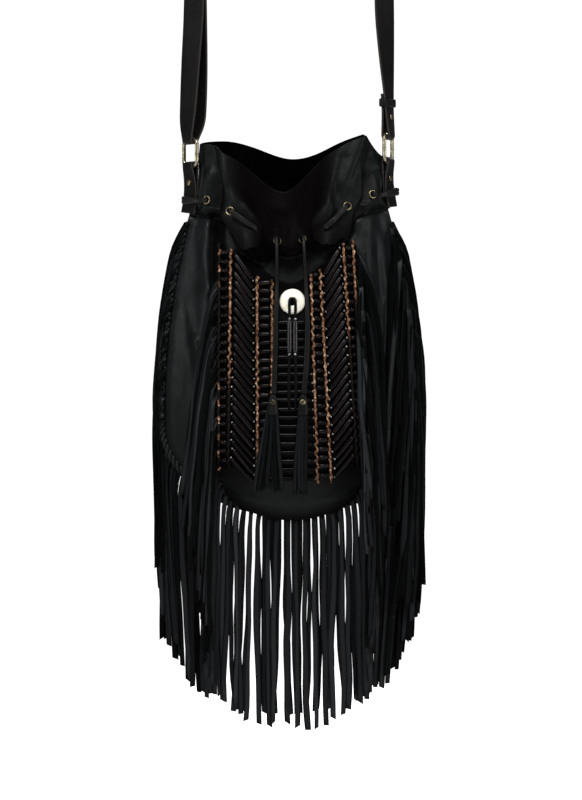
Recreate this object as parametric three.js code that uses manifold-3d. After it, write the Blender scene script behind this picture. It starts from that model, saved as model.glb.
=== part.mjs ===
// A soft leather shoulder bag: pillowed walls, drawstring collar, bead-worked front panel and long fringe.
// Millimetres, +Z up, front towards -Y. The origin is the underside of the strap at its highest point.
import * as THREE from 'three';
import { mergeVertices } from 'three/addons/utils/BufferGeometryUtils.js';
import Module from 'manifold-3d';

const wasm = await Module();
wasm.setup();
const { clamp, degToRad, lerp, smoothstep } = THREE.MathUtils;

// Leather thicknesses and the clearance between neighbouring pieces
const WALL = 1.8;
const PANEL_WALL = 2;
const STRAP_WALL = 2.4;
const TAB_WALL = 2;
const FRINGE_WALL = 3;
const SIDE_FRINGE_WALL = 6;
const GAP = 0.4;
const SEAM_GAP = 0.9;
const PANEL_LIFT = 1.5;

// Body outline from the front: tapered sides over a bowl, with a flat edge all round for the lacing
const BODY = {
  topZ: -556,
  bowlZ: -797,
  half: 141,
  drop: 97,
  taper: 33,
  taperPower: 2.2,
  flatEdge: 11,
  bottomHalf: 20,
};
const BODY_GRID = { front: 18, back: 12, sideRows: 7, bowlRows: 4 };

// Depth of each wall in front of or behind the seam, with its soft folds as ridges between two points;
// the folds fade out towards the flat edge
const FOLD_FADE = 3;
const FRONT = {
  edge: 2,
  bulge: 50,
  topBulge: 40,
  roundness: 2.4,
  folds: [
    { x0: -95, z0: -580, x1: -92, z1: -650, half: 6.5, height: 5 },
    { x0: -92, z0: -650, x1: -103, z1: -745, half: 7, height: 4 },
    { x0: -112, z0: -640, x1: -122, z1: -760, half: 7, height: -3 },
    { x0: 92, z0: -570, x1: 91, z1: -680, half: 6.5, height: 5 },
    { x0: 108, z0: -600, x1: 116, z1: -740, half: 8, height: -3 },
  ],
};
const BACK = {
  edge: 2,
  bulge: 36,
  topBulge: 28,
  roundness: 2.4,
  folds: [
    { x0: -55, z0: -570, x1: -48, z1: -720, half: 14, height: 4 },
    { x0: 60, z0: -570, x1: 44, z1: -760, half: 16, height: 4 },
  ],
};

// Collar sections from the rim down to the seam: heights at the sides, widths, depths, sags and front tuck
const COLLAR = [
  { v: 0, left: -484, right: -474, half: 97, front: 30, back: 38, dip: 60, dipX: -7, dipHalf: 38,
    backDip: 26, tuck: 18, tuckHalf: 50, leftDrop: 8, rightDrop: 30 },
  { v: 0.4, left: -515, right: -508, half: 99, front: 38, back: 38, dip: 56, dipX: -4, dipHalf: 42,
    backDip: 14, tuck: 20, tuckHalf: 42, leftDrop: 3, rightDrop: 10 },
  { v: 0.75, left: -553, right: -545, half: 101, front: 43, back: 35, dip: 52, dipX: 0, dipHalf: 45,
    backDip: 4, tuck: 14, tuckHalf: 30.5, leftDrop: 0, rightDrop: 0 },
  { v: 1, left: -565, right: -558, half: 100, front: 42, back: 30, dip: 50, dipX: 0, dipHalf: 46,
    backDip: 0, tuck: 0, tuckHalf: 24, leftDrop: 0, rightDrop: 0 },
];
const COLLAR_SEAM = COLLAR.at(-1);
const COLLAR_GRID = { columns: 40, rows: 8 };
const TUCK_POWER = 4;
const BACK_DIP_HALF = 45;
const SAG_POWER = 1.2;
const SIDE_DROP_POWER = 14;
const SEAM_ROUND = 6;
const EYELET_V = 0.68;
const SEAM_BLEND_V = 0.76;

// Lacing round the seam edge and the fringe that hangs from it
const LACING = { topZ: -592, reach: 4, clear: 1.4, beyond: 3.8, half: 4.4, slot: 2.7, steps: 34 };
const SIDE_FRINGE = { length: 228, start: 4.4, stack: 7, sideBlend: 20, columns: 36, rows: 5 };

// Bead panel outline and its fringe
const PANEL = {
  topDrop: 30,
  bowlZ: -846,
  drop: 57,
  topLeft: -79,
  topRight: 73.5,
  endLeft: -80,
  endRight: 84.5,
};
const PANEL_GRID = { columns: 12, sideRows: 10, bowlRows: 4, bowlEnd: 1.35, leastDepth: 5.2 };
const PANEL_FRINGE = {
  length: 228,
  start: 0.8,
  lift: 1.6,
  fanLeft: 27,
  fanRight: 44,
  leastFan: 2,
  sidePart: 0.3,
  drapeSteps: 8,
  columns: 32,
  rows: 5,
};

// Bead columns: the two ends of the first and the last bead of each, in the plane of the front
const BEAD_COLUMNS = [
  { name: 'hairpipes_left', count: 24, radius: 2.8, slanted: true,
    first: { x0: -60, z0: -610, x1: -40.5, z1: -638 },
    last: { x0: -62.5, z0: -835, x1: -40, z1: -860 } },
  { name: 'hairpipes_right', count: 24, radius: 2.8, slanted: true,
    first: { x0: 37.6, z0: -633, x1: 54.5, z1: -605 },
    last: { x0: 51, z0: -853, x1: 70.5, z1: -830 } },
  { name: 'hairpipes_centre', count: 19, radius: 2.8, slanted: false,
    first: { x0: -15, z0: -685, x1: 20, z1: -685 },
    last: { x0: -15.5, z0: -856, x1: 27, z1: -856 } },
  { name: 'ladder_beads_1', count: 24, radius: 2.6, slanted: false,
    first: { x0: -75, z0: -608, x1: -66.9, z1: -608 },
    last: { x0: -75.5, z0: -836, x1: -69.5, z1: -836 } },
  { name: 'ladder_beads_2', count: 24, radius: 2.6, slanted: false,
    first: { x0: -33.7, z0: -641, x1: -20.8, z1: -641 },
    last: { x0: -33.3, z0: -859, x1: -20.8, z1: -859 } },
  { name: 'ladder_beads_3', count: 24, radius: 2.6, slanted: false,
    first: { x0: 25.5, z0: -633, x1: 31.5, z1: -633 },
    last: { x0: 33, z0: -852, x1: 43.5, z1: -852 } },
  { name: 'ladder_beads_4', count: 24, radius: 2.6, slanted: false,
    first: { x0: 61.4, z0: -603, x1: 67.5, z1: -603 },
    last: { x0: 75.9, z0: -829, x1: 78.8, z1: -829 } },
];
const BEAD = { sides: 5, lift: 1.9, thread: 0.6, turn: 1.6, loop: 0.9 };

// Leather spacers on edge between the bead columns: x and z at the top and at the bottom
const SPACERS = [
  { x0: -77, z0: -598, x1: -77.8, z1: -848 },
  { x0: -64.5, z0: -604, x1: -67, z1: -848 },
  { x0: -35.5, z0: -634, x1: -35, z1: -866 },
  { x0: -19, z0: -638, x1: -19, z1: -866 },
  { x0: 23.5, z0: -632, x1: 31, z1: -862 },
  { x0: 33.5, z0: -626, x1: 46, z1: -862 },
  { x0: 58.8, z0: -598, x1: 74.5, z1: -842 },
  { x0: 69.5, z0: -594, x1: 82, z1: -842 },
];
const SPACER = { half: 1.1, lift: 1.1, height: 6.2, steps: 12 };

// Bone button, its thong and the two tubes on the thong
const BUTTON = { x: 3.2, z: -662, radius: 14, thick: 3.5, hole: 4.4, clear: 0.7, sides: 24 };
const BUTTON_EDGE = { backBevel: 0.6, frontBevel: 1.6, waist: 0.4, dish: 0.86 };
const THONG = { radius: 1.2, spread: 2.2, archZ: -660, endZ: -781 };
const THONG_TUBES = { spread: 3.2, topZ: -683, y: -65.4 };
const THONG_BEND = { lead: 1, rise: 8, stand: 1.5, drop: 5, dive: 0.5, sides: 6 };
const TUBE = { length: 35, radius: 2.7, bore: 1.7, sides: 10 };

// Eyelets in the order in which the drawcord passes them, from the left hanging end round to the right one
const EYELETS = [
  { x: -14, back: false },
  { x: -37, back: false },
  { x: -62, back: false },
  { x: -88, back: false },
  { x: -84, back: true },
  { x: -30, back: true },
  { x: 30, back: true },
  { x: 84, back: true },
  { x: 87, back: false },
  { x: 63, back: false },
  { x: 37, back: false },
  { x: 15, back: false },
];
const EYELET = { bore: 2.5, barrel: 3.1, flange: 5.2, flangeThick: 1, seat: 1.5, tail: 0.7, sides: 8 };
const EYELET_HOLE = { radius: 3.45, depth: 8 };

// Drawcord: held length, then the two ends that hang to the tassels
const CORD = { radius: 1.8, sides: 8, outside: 5.2, inside: 5.6, inBarrel: 0.6, between: [0.3, 0.7] };
const CORD_ROUND_LEFT = [
  { x: -98, y: -18, z: -552 },
  { x: -105.5, y: -12.8, z: -551 },
  { x: -110.8, y: -2.2, z: -550.5 },
  { x: -116.2, y: 9, z: -550 },
  { x: -106, y: 17, z: -549.5 },
];
const CORD_ROUND_RIGHT = [
  { x: 102, y: 19, z: -542 },
  { x: 114, y: 10.4, z: -542.5 },
  { x: 110.2, y: -1.3, z: -543.5 },
  { x: 107, y: -12.6, z: -544.5 },
  { x: 98, y: -18.5, z: -546 },
];
const CORD_END_STEPS = 18;
const CORD_END_LEFT = [
  { x: -14, y: -44, z: -591 },
  { x: -14, y: -50, z: -600 },
  { x: -13.5, y: -53, z: -614 },
  { x: -13, y: -55, z: -640 },
  { x: -12.5, y: -61, z: -668 },
  { x: -13, y: -65, z: -700 },
  { x: -15, y: -65.3, z: -735 },
  { x: -17, y: -65.5, z: -764 },
];
const CORD_END_RIGHT = [
  { x: 15, y: -44, z: -590 },
  { x: 15.5, y: -50, z: -599 },
  { x: 16, y: -53, z: -614 },
  { x: 17, y: -55, z: -640 },
  { x: 18.5, y: -61.5, z: -670 },
  { x: 19.5, y: -65, z: -700 },
  { x: 18, y: -65.3, z: -735 },
  { x: 15.5, y: -65.5, z: -764 },
];

// Tassels: sections of the gathered strips from the head down
const TASSELS = [
  { side: 'left', rivetX: -18.5, sections: [
    { x: -17, z: -764.6, half: 3, deep: 2.2 },
    { x: -18, z: -770, half: 5, deep: 2.6 },
    { x: -20, z: -785, half: 8, deep: 3 },
    { x: -22.5, z: -825, half: 12.5, deep: 3.2 },
    { x: -24, z: -868, half: 16, deep: 3 },
  ] },
  { side: 'right', rivetX: 14.5, sections: [
    { x: 15.5, z: -764.6, half: 3, deep: 2.2 },
    { x: 15, z: -770, half: 4.5, deep: 2.6 },
    { x: 14, z: -785, half: 5.5, deep: 3 },
    { x: 12.5, z: -825, half: 6.5, deep: 3.2 },
    { x: 12, z: -870, half: 7.2, deep: 3 },
  ] },
];
const TASSEL = { y: -67, sides: 12, rivetZ: -772, rivetOff: 3.2 };

// Rings, seen turned away from the front by the given angle, and the wire they are bent from
const RING = { half: 16.75, rise: 14.25, corner: 6, wire: 2.25, segments: 28, sides: 6 };
const RING_LEFT = { x: -109.5, z: -497, turn: 64 };
const RING_RIGHT = { x: 109, z: -492, turn: 106 };

// Strap stations of the side that faces the inside of each fold: left run from its sewn end to the ring
const STRAP = { width: 28, ringWidth: 23, arch: 104, archSteps: 14, foldSteps: 6 };
const STRAP_LEFT = [
  { z: -300, x: -104, turn: 36, open: 0.6 },
  { z: -345, x: -104, turn: 38, open: 3 },
  { z: -400, x: -105, turn: 46, open: 8 },
  { z: -445, x: -107, turn: 56, open: 8 },
];
const STRAP_LEFT_UP = [
  { z: -240, x: -104, turn: 52 },
  { z: -170, x: -104, turn: 74 },
];
const STRAP_RIGHT_DOWN = [
  { z: -170, x: 104, turn: 106 },
  { z: -240, x: 103.5, turn: 128 },
  { z: -330, x: 103.5, turn: 143 },
  { z: -390, x: 106, turn: 126 },
];
const STRAP_RIGHT = [
  { z: -432, x: 108, turn: 112, open: 0.8 },
  { z: -452, x: 108.6, turn: 108, open: 1.2 },
];
const KEEPER = { z: -442, x: 108.3, turn: 110, wall: 1.6, height: 9, width: 29.4, depth: 7.6 };
const STRAP_RIVET = { x: 108.6, z: -457, radius: 3 };

// Tabs that hold the rings on the sides of the collar
const TAB = { width: 23, foldSteps: 6, pinch: 0.6 };
const TAB_LEFT = [
  { z: -530, x: -108.5 },
  { z: -548, x: -106 },
  { z: -561, x: -105 },
];
const TAB_RIGHT = [
  { z: -525, x: 107.5 },
  { z: -542, x: 105.5 },
  { z: -554, x: 104.8 },
];
const RIVET = { radius: 3.4, rise: 1.6, sides: 12 };
const RIVET_DOME = [
  { out: 0, up: 0 },
  { out: 1, up: 0 },
  { out: 0.9, up: 0.5 },
  { out: 0.5, up: 0.92 },
  { out: 0, up: 1 },
];

const BLACK_LEATHER = { color: 0x1c1e1f, roughness: 0.52, metalness: 0 };
const TAN_LEATHER = { color: 0xa0673f, roughness: 0.72, metalness: 0 };
const DARK_BEAD = { color: 0x140d10, roughness: 0.18, metalness: 0 };
const BONE = { color: 0xefe9d6, roughness: 0.34, metalness: 0 };
const BRASS = { color: 0x8c7648, roughness: 0.36, metalness: 1 };

// Closed solid from points and triangles, turned so that its faces look outwards
function solid(points, index) {
  let volume = 0;
  for (let k = 0; k < index.length; k += 3) {
    const [a, b, c] = [points[index[k]], points[index[k + 1]], points[index[k + 2]]];
    volume += a.dot(b.clone().cross(c));
  }
  const geometry = new THREE.BufferGeometry().setFromPoints(points);
  geometry.setIndex(volume < 0 ? index.toReversed() : index);
  return geometry;
}

// Outward direction of a surface whose v runs down and whose u runs to the right as seen from outside
function faceNormal(face, u, v) {
  const step = 0.002;
  const across = face(Math.min(1, u + step), v).sub(face(Math.max(0, u - step), v));
  const down = face(u, Math.min(1, v + step)).sub(face(u, Math.max(0, v - step)));
  return down.cross(across).normalize();
}

// A wall: an outer face on a grid, an inner face one thickness behind it, and the rims that join them
function wall(face, columns, rows, thickness, { closed = false, inward = (normal) => normal.negate() } = {}) {
  const across = closed ? columns : columns + 1;
  const layer = across * (rows + 1);
  const outer = [];
  const inner = [];
  for (let j = 0; j <= rows; j += 1) {
    for (let i = 0; i < across; i += 1) {
      const point = face(i / columns, j / rows);
      const behind = inward(faceNormal(face, i / columns, j / rows));
      outer.push(point);
      inner.push(point.clone().addScaledVector(behind, thickness));
    }
  }
  const at = (i, j) => j * across + (i % across);
  const index = [];
  const quad = (a, b, c, d) => index.push(a, b, c, c, b, d);
  for (let j = 0; j < rows; j += 1) {
    for (let i = 0; i < columns; i += 1) {
      const corners = [at(i, j), at(i, j + 1), at(i + 1, j), at(i + 1, j + 1)];
      quad(...corners);
      const [a, b, c, d] = corners.map((corner) => corner + layer);
      quad(a, c, b, d);
    }
  }
  for (let i = 0; i < columns; i += 1) {
    quad(at(i, 0), at(i + 1, 0), at(i, 0) + layer, at(i + 1, 0) + layer);
    quad(at(i + 1, rows), at(i, rows), at(i + 1, rows) + layer, at(i, rows) + layer);
  }
  if (!closed) {
    for (let j = 0; j < rows; j += 1) {
      quad(at(0, j + 1), at(0, j), at(0, j + 1) + layer, at(0, j) + layer);
      quad(at(columns, j), at(columns, j + 1), at(columns, j) + layer, at(columns, j + 1) + layer);
    }
  }
  return solid([...outer, ...inner], index);
}

// A solid carried through rings of points; the caps are cut from the flat section that the rings repeat
function loft(rings, section) {
  const size = section.length;
  const index = [];
  for (let k = 0; k + 1 < rings.length; k += 1) {
    for (let i = 0; i < size; i += 1) {
      const next = (i + 1) % size;
      const [a, b, c, d] = [k * size + i, k * size + next, (k + 1) * size + i, (k + 1) * size + next];
      index.push(a, b, c, c, b, d);
    }
  }
  const last = (rings.length - 1) * size;
  for (const [a, b, c] of THREE.ShapeUtils.triangulateShape(section, [])) {
    index.push(a, c, b, last + a, last + b, last + c);
  }
  return solid(rings.flat(), index);
}

function polygon(sides, radiusX = 1, radiusY = 1) {
  const corner = (_, i) => {
    const angle = ((i + 0.5) / sides) * 2 * Math.PI;
    return new THREE.Vector2(radiusX * Math.cos(angle), radiusY * Math.sin(angle));
  };
  return Array.from({ length: sides }, corner);
}

// A round bar through stations of centre, direction and radius, its section turned as little as possible
function bar(stations, sides) {
  const section = polygon(sides);
  const first = stations[0].axis;
  const steep = 0.8;
  const start = Math.abs(first.z) < steep ? new THREE.Vector3(0, 0, 1) : new THREE.Vector3(0, 1, 0);
  const side = start.cross(first).normalize();
  const turn = new THREE.Quaternion();
  let previous = first;
  const rings = stations.map(({ centre, axis, radius }) => {
    side.applyQuaternion(turn.setFromUnitVectors(previous, axis));
    previous = axis;
    const other = axis.clone().cross(side);
    const corner = ({ x, y }) => {
      return centre.clone().addScaledVector(side, x * radius).addScaledVector(other, y * radius);
    };
    return section.map(corner);
  });
  return loft(rings, section);
}

// A cord through its points, each section square to the cord
function cord(points, radius, sides) {
  const stations = points.map((centre, i) => {
    const before = points[Math.max(0, i - 1)];
    const after = points[Math.min(points.length - 1, i + 1)];
    return { centre, axis: after.clone().sub(before).normalize(), radius };
  });
  return bar(stations, sides);
}

function toManifold(geometry) {
  const bare = geometry.clone();
  bare.deleteAttribute('normal');
  bare.deleteAttribute('uv');
  const weld = 1e-4;
  const merged = mergeVertices(bare, weld);
  const mesh = new wasm.Mesh({
    numProp: 3,
    vertProperties: new Float32Array(merged.attributes.position.array),
    triVerts: new Uint32Array(merged.index.array),
  });
  return new wasm.Manifold(mesh);
}

function toGeometry(manifold) {
  const mesh = manifold.getMesh();
  const geometry = new THREE.BufferGeometry();
  geometry.setAttribute('position', new THREE.BufferAttribute(new Float32Array(mesh.vertProperties), 3));
  geometry.setIndex(new THREE.BufferAttribute(new Uint32Array(mesh.triVerts), 1));
  return geometry;
}

// Body outline and depth
function bodyHalf(z) {
  if (z >= BODY.bowlZ) {
    const rise = (z - BODY.bowlZ) / (BODY.topZ - BODY.bowlZ);
    return BODY.half - BODY.taper * rise ** BODY.taperPower;
  }
  const fall = Math.min(1, (BODY.bowlZ - z) / BODY.drop);
  return BODY.half * Math.sqrt(1 - fall * fall);
}

function outlineRatio(x, z) {
  if (z >= BODY.bowlZ) return Math.abs(x) / bodyHalf(z);
  return Math.hypot(x / BODY.half, (BODY.bowlZ - z) / BODY.drop);
}

function foldHeight(folds, x, z) {
  let height = 0;
  for (const fold of folds) {
    const run = new THREE.Vector2(fold.x1 - fold.x0, fold.z1 - fold.z0);
    const offset = new THREE.Vector2(x - fold.x0, z - fold.z0);
    const along = clamp(offset.dot(run) / run.lengthSq(), 0, 1);
    const away = offset.addScaledVector(run, -along).length();
    height += fold.height * Math.exp(-((away / fold.half) ** 2));
  }
  return height;
}

function wallDepth(side, x, z) {
  const ratio = Math.min(1, outlineRatio(x, z) / (1 - BODY.flatEdge / BODY.half));
  const upper = clamp((z - BODY.bowlZ) / (BODY.topZ - BODY.bowlZ), 0, 1);
  const swell = 1 - ratio ** side.roundness;
  const bulge = lerp(side.bulge, side.topBulge, upper * upper);
  return side.edge + bulge * swell + foldHeight(side.folds, x, z) * Math.min(1, FOLD_FADE * swell);
}

// Collar seam height on the front, where the middle sags, and on the back
function seamZ(x, back) {
  const s = clamp(x / COLLAR_SEAM.half, -1, 1);
  const level = lerp(COLLAR_SEAM.left, COLLAR_SEAM.right, (s + 1) / 2);
  if (back) return level;
  const sag = 1 / (1 + (x / COLLAR_SEAM.dipHalf) ** 2);
  return level - COLLAR_SEAM.dip * (1 - s * s) ** (SAG_POWER / 2) * sag;
}

// One wall of the body; its outermost columns and its last row are the flat laced edge
function bodyFace(side, back) {
  const { sideRows, bowlRows } = BODY_GRID;
  const columns = back ? BODY_GRID.back : BODY_GRID.front;
  const rows = sideRows + bowlRows + 1;
  const flat = 1 - BODY.flatEdge / BODY.half;
  const lastAngle = Math.acos(BODY.bottomHalf / BODY.half);
  const inside = 1 - 2 / columns;
  return (u, v) => {
    const a = back ? 1 - 2 * u : 2 * u - 1;
    const reach = Math.abs(a);
    const spread = reach <= inside ? (reach / inside) * flat : lerp(flat, 1, (reach - inside) / (1 - inside));
    const t = Math.sign(a) * spread;
    const row = v * rows;
    let x;
    let z;
    if (row <= sideRows) {
      z = lerp(seamZ(t * bodyHalf(BODY.topZ), back) - SEAM_GAP, BODY.bowlZ, row / sideRows);
      x = t * bodyHalf(z);
    } else {
      const flatAngle = Math.asin(flat);
      const past = row - sideRows;
      const inBowl = past <= bowlRows;
      const angle = inBowl ? (past / bowlRows) * flatAngle : lerp(flatAngle, lastAngle, past - bowlRows);
      z = BODY.bowlZ - BODY.drop * Math.sin(angle);
      x = t * BODY.half * Math.cos(angle);
    }
    const depth = wallDepth(side, x, z);
    return new THREE.Vector3(x, back ? depth : -depth, z);
  };
}

function bodyWall(side, back) {
  const rows = BODY_GRID.sideRows + BODY_GRID.bowlRows + 1;
  return wall(bodyFace(side, back), back ? BODY_GRID.back : BODY_GRID.front, rows, WALL);
}

// Collar: closed sections blended between the table rows and run into the body's shape at the seam
function collarRow(v) {
  const k = Math.max(1, COLLAR.findIndex((row) => row.v >= v));
  const [upper, lower] = [COLLAR[k - 1], COLLAR[k]];
  const part = (v - upper.v) / (lower.v - upper.v);
  const names = Object.keys(upper);
  return Object.fromEntries(names.map((name) => [name, lerp(upper[name], lower[name], part)]));
}

function collarPoint(angle, v) {
  const row = collarRow(v);
  const s = Math.sin(angle);
  const c = Math.cos(angle);
  const x = row.half * s;
  const ahead = Math.max(0, c) ** SAG_POWER;
  const behind = Math.max(0, -c) ** SAG_POWER;
  const sag = row.dip * ahead / (1 + ((x - row.dipX) / row.dipHalf) ** 2);
  const backSag = row.backDip * behind * Math.exp(-((x / BACK_DIP_HALF) ** 2));
  const leftDrop = row.leftDrop * Math.max(0, -s) ** SIDE_DROP_POWER;
  const rightDrop = row.rightDrop * Math.max(0, s) ** SIDE_DROP_POWER;
  const z = lerp(row.left, row.right, (s + 1) / 2) - sag - backSag - leftDrop - rightDrop;
  const tuck = row.tuck * Math.exp(-((Math.abs(x) / row.tuckHalf) ** TUCK_POWER));
  const free = c > 0 ? tuck - row.front * c : -row.back * c;
  const depth = c > 0 ? -wallDepth(FRONT, x, z) : wallDepth(BACK, x, z);
  const seamed = depth * Math.min(1, Math.abs(c) * SEAM_ROUND);
  return new THREE.Vector3(x, lerp(free, seamed, smoothstep(v, SEAM_BLEND_V, 1)), z);
}

const collarFace = (u, v) => collarPoint((2 * u - 1) * Math.PI, v);
const straightBack = () => new THREE.Vector3(0, 1, 0);
const levelInward = (normal) => new THREE.Vector3(-normal.x, -normal.y, 0).normalize();

// Eyelet seats on the collar: position, outward direction and angle round the collar
function eyeletSeat({ x, back }) {
  const angle = Math.asin(x / collarRow(EYELET_V).half);
  const turned = back ? Math.sign(angle) * Math.PI - angle : angle;
  const u = (turned / Math.PI + 1) / 2;
  return { turned, point: collarFace(u, EYELET_V), normal: faceNormal(collarFace, u, EYELET_V) };
}

const seats = EYELETS.map(eyeletSeat);
const UP = new THREE.Vector3(0, 1, 0);

function place(object, point, direction) {
  object.position.copy(point);
  object.quaternion.setFromUnitVectors(UP, direction);
  return object;
}

function collarGeometry() {
  const { columns, rows } = COLLAR_GRID;
  let collar = toManifold(wall(collarFace, columns, rows, WALL, { closed: true, inward: levelInward }));
  for (const { point, normal } of seats) {
    const { radius, depth } = EYELET_HOLE;
    const drill = new THREE.CylinderGeometry(radius, radius, depth, EYELET.sides);
    const cutter = place(new THREE.Object3D(), point, normal);
    cutter.updateMatrix();
    collar = collar.subtract(toManifold(drill.applyMatrix4(cutter.matrix)));
  }
  return toGeometry(collar);
}

// Eyelet: a barrel through the leather with a flange on the outside
function eyeletGeometry() {
  const inner = -(WALL + EYELET.tail);
  const top = EYELET.seat + EYELET.flangeThick;
  const profile = [
    new THREE.Vector2(EYELET.bore, inner),
    new THREE.Vector2(EYELET.barrel, inner),
    new THREE.Vector2(EYELET.barrel, EYELET.seat),
    new THREE.Vector2(EYELET.flange, EYELET.seat),
    new THREE.Vector2((EYELET.bore + EYELET.flange) / 2, top),
    new THREE.Vector2(EYELET.bore, EYELET.seat),
    new THREE.Vector2(EYELET.bore, inner),
  ];
  return new THREE.LatheGeometry(profile, EYELET.sides);
}

// Drawcord: in at one eyelet and out at the next, round the outside of both tabs
function drawcordPoints() {
  const off = (angle, distance) => {
    const u = THREE.MathUtils.euclideanModulo((angle / Math.PI + 1) / 2, 1);
    return collarFace(u, EYELET_V).addScaledVector(faceNormal(collarFace, u, EYELET_V), distance);
  };
  const points = [];
  seats.forEach(({ turned }, k) => {
    const goesIn = k % 2 === 0;
    const last = k + 1 === seats.length;
    const before = goesIn ? CORD.outside : -CORD.inside;
    const after = goesIn ? -CORD.inside : CORD.outside;
    points.push(off(turned, k === 0 ? -CORD.inBarrel : before));
    points.push(off(turned, last ? -CORD.inBarrel : after));
    if (last) return;
    if (EYELETS[k].back !== EYELETS[k + 1].back) {
      const round = EYELETS[k].back ? CORD_ROUND_RIGHT : CORD_ROUND_LEFT;
      points.push(...round.map(({ x, y, z }) => new THREE.Vector3(x, y, z)));
      return;
    }
    const shortest = seats[k + 1].turned - turned;
    const sweep = shortest - 2 * Math.PI * Math.round(shortest / (2 * Math.PI));
    for (const part of CORD.between) points.push(off(turned + sweep * part, after));
  });
  return points;
}

function cordEndGeometry(seat, table) {
  const along = (distance) => seat.point.clone().addScaledVector(seat.normal, distance);
  const hanging = table.map(({ x, y, z }) => new THREE.Vector3(x, y, z));
  const points = [along(CORD.inBarrel), along(CORD.outside), ...hanging];
  const section = new THREE.Shape();
  section.absarc(0, 0, CORD.radius, 0, 2 * Math.PI);
  const path = new THREE.CatmullRomCurve3(points, false, 'centripetal');
  const options = { steps: CORD_END_STEPS, curveSegments: CORD.sides / 2, extrudePath: path };
  return new THREE.ExtrudeGeometry(section, options);
}

// Seam edge from the left top round the bottom to the right top, with the direction out of the bag
function seamEdge(t) {
  const side = LACING.topZ - BODY.bowlZ;
  const bowl = Math.PI * Math.hypot(BODY.half, BODY.drop) / Math.SQRT2;
  const length = t * (2 * side + bowl);
  if (length <= side || length >= side + bowl) {
    const down = length <= side ? length : 2 * side + bowl - length;
    const z = LACING.topZ - down;
    return new THREE.Vector2(Math.sign(length - side - bowl / 2) * bodyHalf(z), z);
  }
  const angle = ((length - side) / bowl) * Math.PI;
  return new THREE.Vector2(-BODY.half * Math.cos(angle), BODY.bowlZ - BODY.drop * Math.sin(angle));
}

function seamOut(t) {
  const step = 0.004;
  const along = seamEdge(Math.min(1, t + step)).sub(seamEdge(Math.max(0, t - step))).normalize();
  return new THREE.Vector2(along.y, -along.x);
}

function lacingGeometry() {
  const { reach, clear, beyond, half, slot, steps } = LACING;
  const section = [
    new THREE.Vector2(-reach, half),
    new THREE.Vector2(-reach, slot),
    new THREE.Vector2(clear, slot),
    new THREE.Vector2(clear, -slot),
    new THREE.Vector2(-reach, -slot),
    new THREE.Vector2(-reach, -half),
    new THREE.Vector2(beyond / 2, -half),
    new THREE.Vector2(beyond, -half / 2),
    new THREE.Vector2(beyond, half / 2),
    new THREE.Vector2(beyond / 2, half),
  ];
  const rings = [];
  for (let k = 0; k <= steps; k += 1) {
    const edge = seamEdge(k / steps);
    const out = seamOut(k / steps);
    rings.push(section.map((p) => new THREE.Vector3(edge.x + out.x * p.x, p.y, edge.y + out.y * p.x)));
  }
  return loft(rings, section);
}

// Fringe of the seam: strips hang straight down, those of the sides stacked outside the lower seam
function sideFringeGeometry() {
  const { length, start, stack, sideBlend, columns, rows } = SIDE_FRINGE;
  const face = (u, v) => {
    const edge = seamEdge(u);
    const out = seamOut(u);
    const z = edge.y + out.y * start - length * v;
    const onSide = clamp((edge.y - BODY.bowlZ) / sideBlend + 1, 0, 1);
    const outward = Math.sign(edge.x) || 1;
    const pushed = outward * (bodyHalf(Math.max(z, BODY.bowlZ)) + start + stack * v);
    const hung = edge.x + out.x * start + outward * stack * v * Math.abs(edge.x / BODY.half) ** 2;
    return new THREE.Vector3(lerp(hung, pushed, onSide), -SIDE_FRINGE_WALL / 2, z);
  };
  return wall(face, columns, rows, SIDE_FRINGE_WALL, { inward: straightBack });
}

// Bead panel outline, from the top left round the bottom to the top right
function panelSide(z, right) {
  const up = clamp((z - PANEL.bowlZ) / (COLLAR_SEAM.left - PANEL.topDrop - PANEL.bowlZ), 0, 1);
  return right ? lerp(PANEL.endRight, PANEL.topRight, up) : lerp(PANEL.endLeft, PANEL.topLeft, up);
}

const panelMiddle = (PANEL.endLeft + PANEL.endRight) / 2;
const panelHalf = (PANEL.endRight - PANEL.endLeft) / 2;

function panelDepth(x, z) {
  return Math.max(wallDepth(FRONT, x, z), PANEL_GRID.leastDepth) + PANEL_LIFT + PANEL_WALL;
}

function panelGeometry() {
  const { columns, sideRows, bowlRows, bowlEnd } = PANEL_GRID;
  const rows = sideRows + bowlRows;
  const face = (u, v) => {
    const row = v * rows;
    let x;
    let z;
    if (row <= sideRows) {
      const top = seamZ(lerp(PANEL.topLeft, PANEL.topRight, u), false) - PANEL.topDrop;
      z = lerp(top, PANEL.bowlZ, row / sideRows);
      x = lerp(panelSide(z, false), panelSide(z, true), u);
    } else {
      const angle = ((row - sideRows) / bowlRows) * bowlEnd;
      z = PANEL.bowlZ - PANEL.drop * Math.sin(angle);
      x = panelMiddle + (2 * u - 1) * panelHalf * Math.cos(angle);
    }
    return new THREE.Vector3(x, -panelDepth(x, z), z);
  };
  return wall(face, columns, rows, PANEL_WALL, { inward: straightBack });
}

function panelEdge(t) {
  const leftTop = seamZ(PANEL.topLeft, false) - PANEL.topDrop;
  const rightTop = seamZ(PANEL.topRight, false) - PANEL.topDrop;
  const { sidePart } = PANEL_FRINGE;
  if (t < sidePart) {
    const z = lerp(leftTop, PANEL.bowlZ, t / sidePart);
    return new THREE.Vector2(panelSide(z, false) - PANEL_FRINGE.start, z);
  }
  if (t > 1 - sidePart) {
    const z = lerp(PANEL.bowlZ, rightTop, (t - 1 + sidePart) / sidePart);
    return new THREE.Vector2(panelSide(z, true) + PANEL_FRINGE.start, z);
  }
  const angle = ((t - sidePart) / (1 - 2 * sidePart)) * Math.PI;
  const x = panelMiddle - (panelHalf + PANEL_FRINGE.start) * Math.cos(angle);
  return new THREE.Vector2(x, PANEL.bowlZ - (PANEL.drop + PANEL_FRINGE.start) * Math.sin(angle));
}

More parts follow.
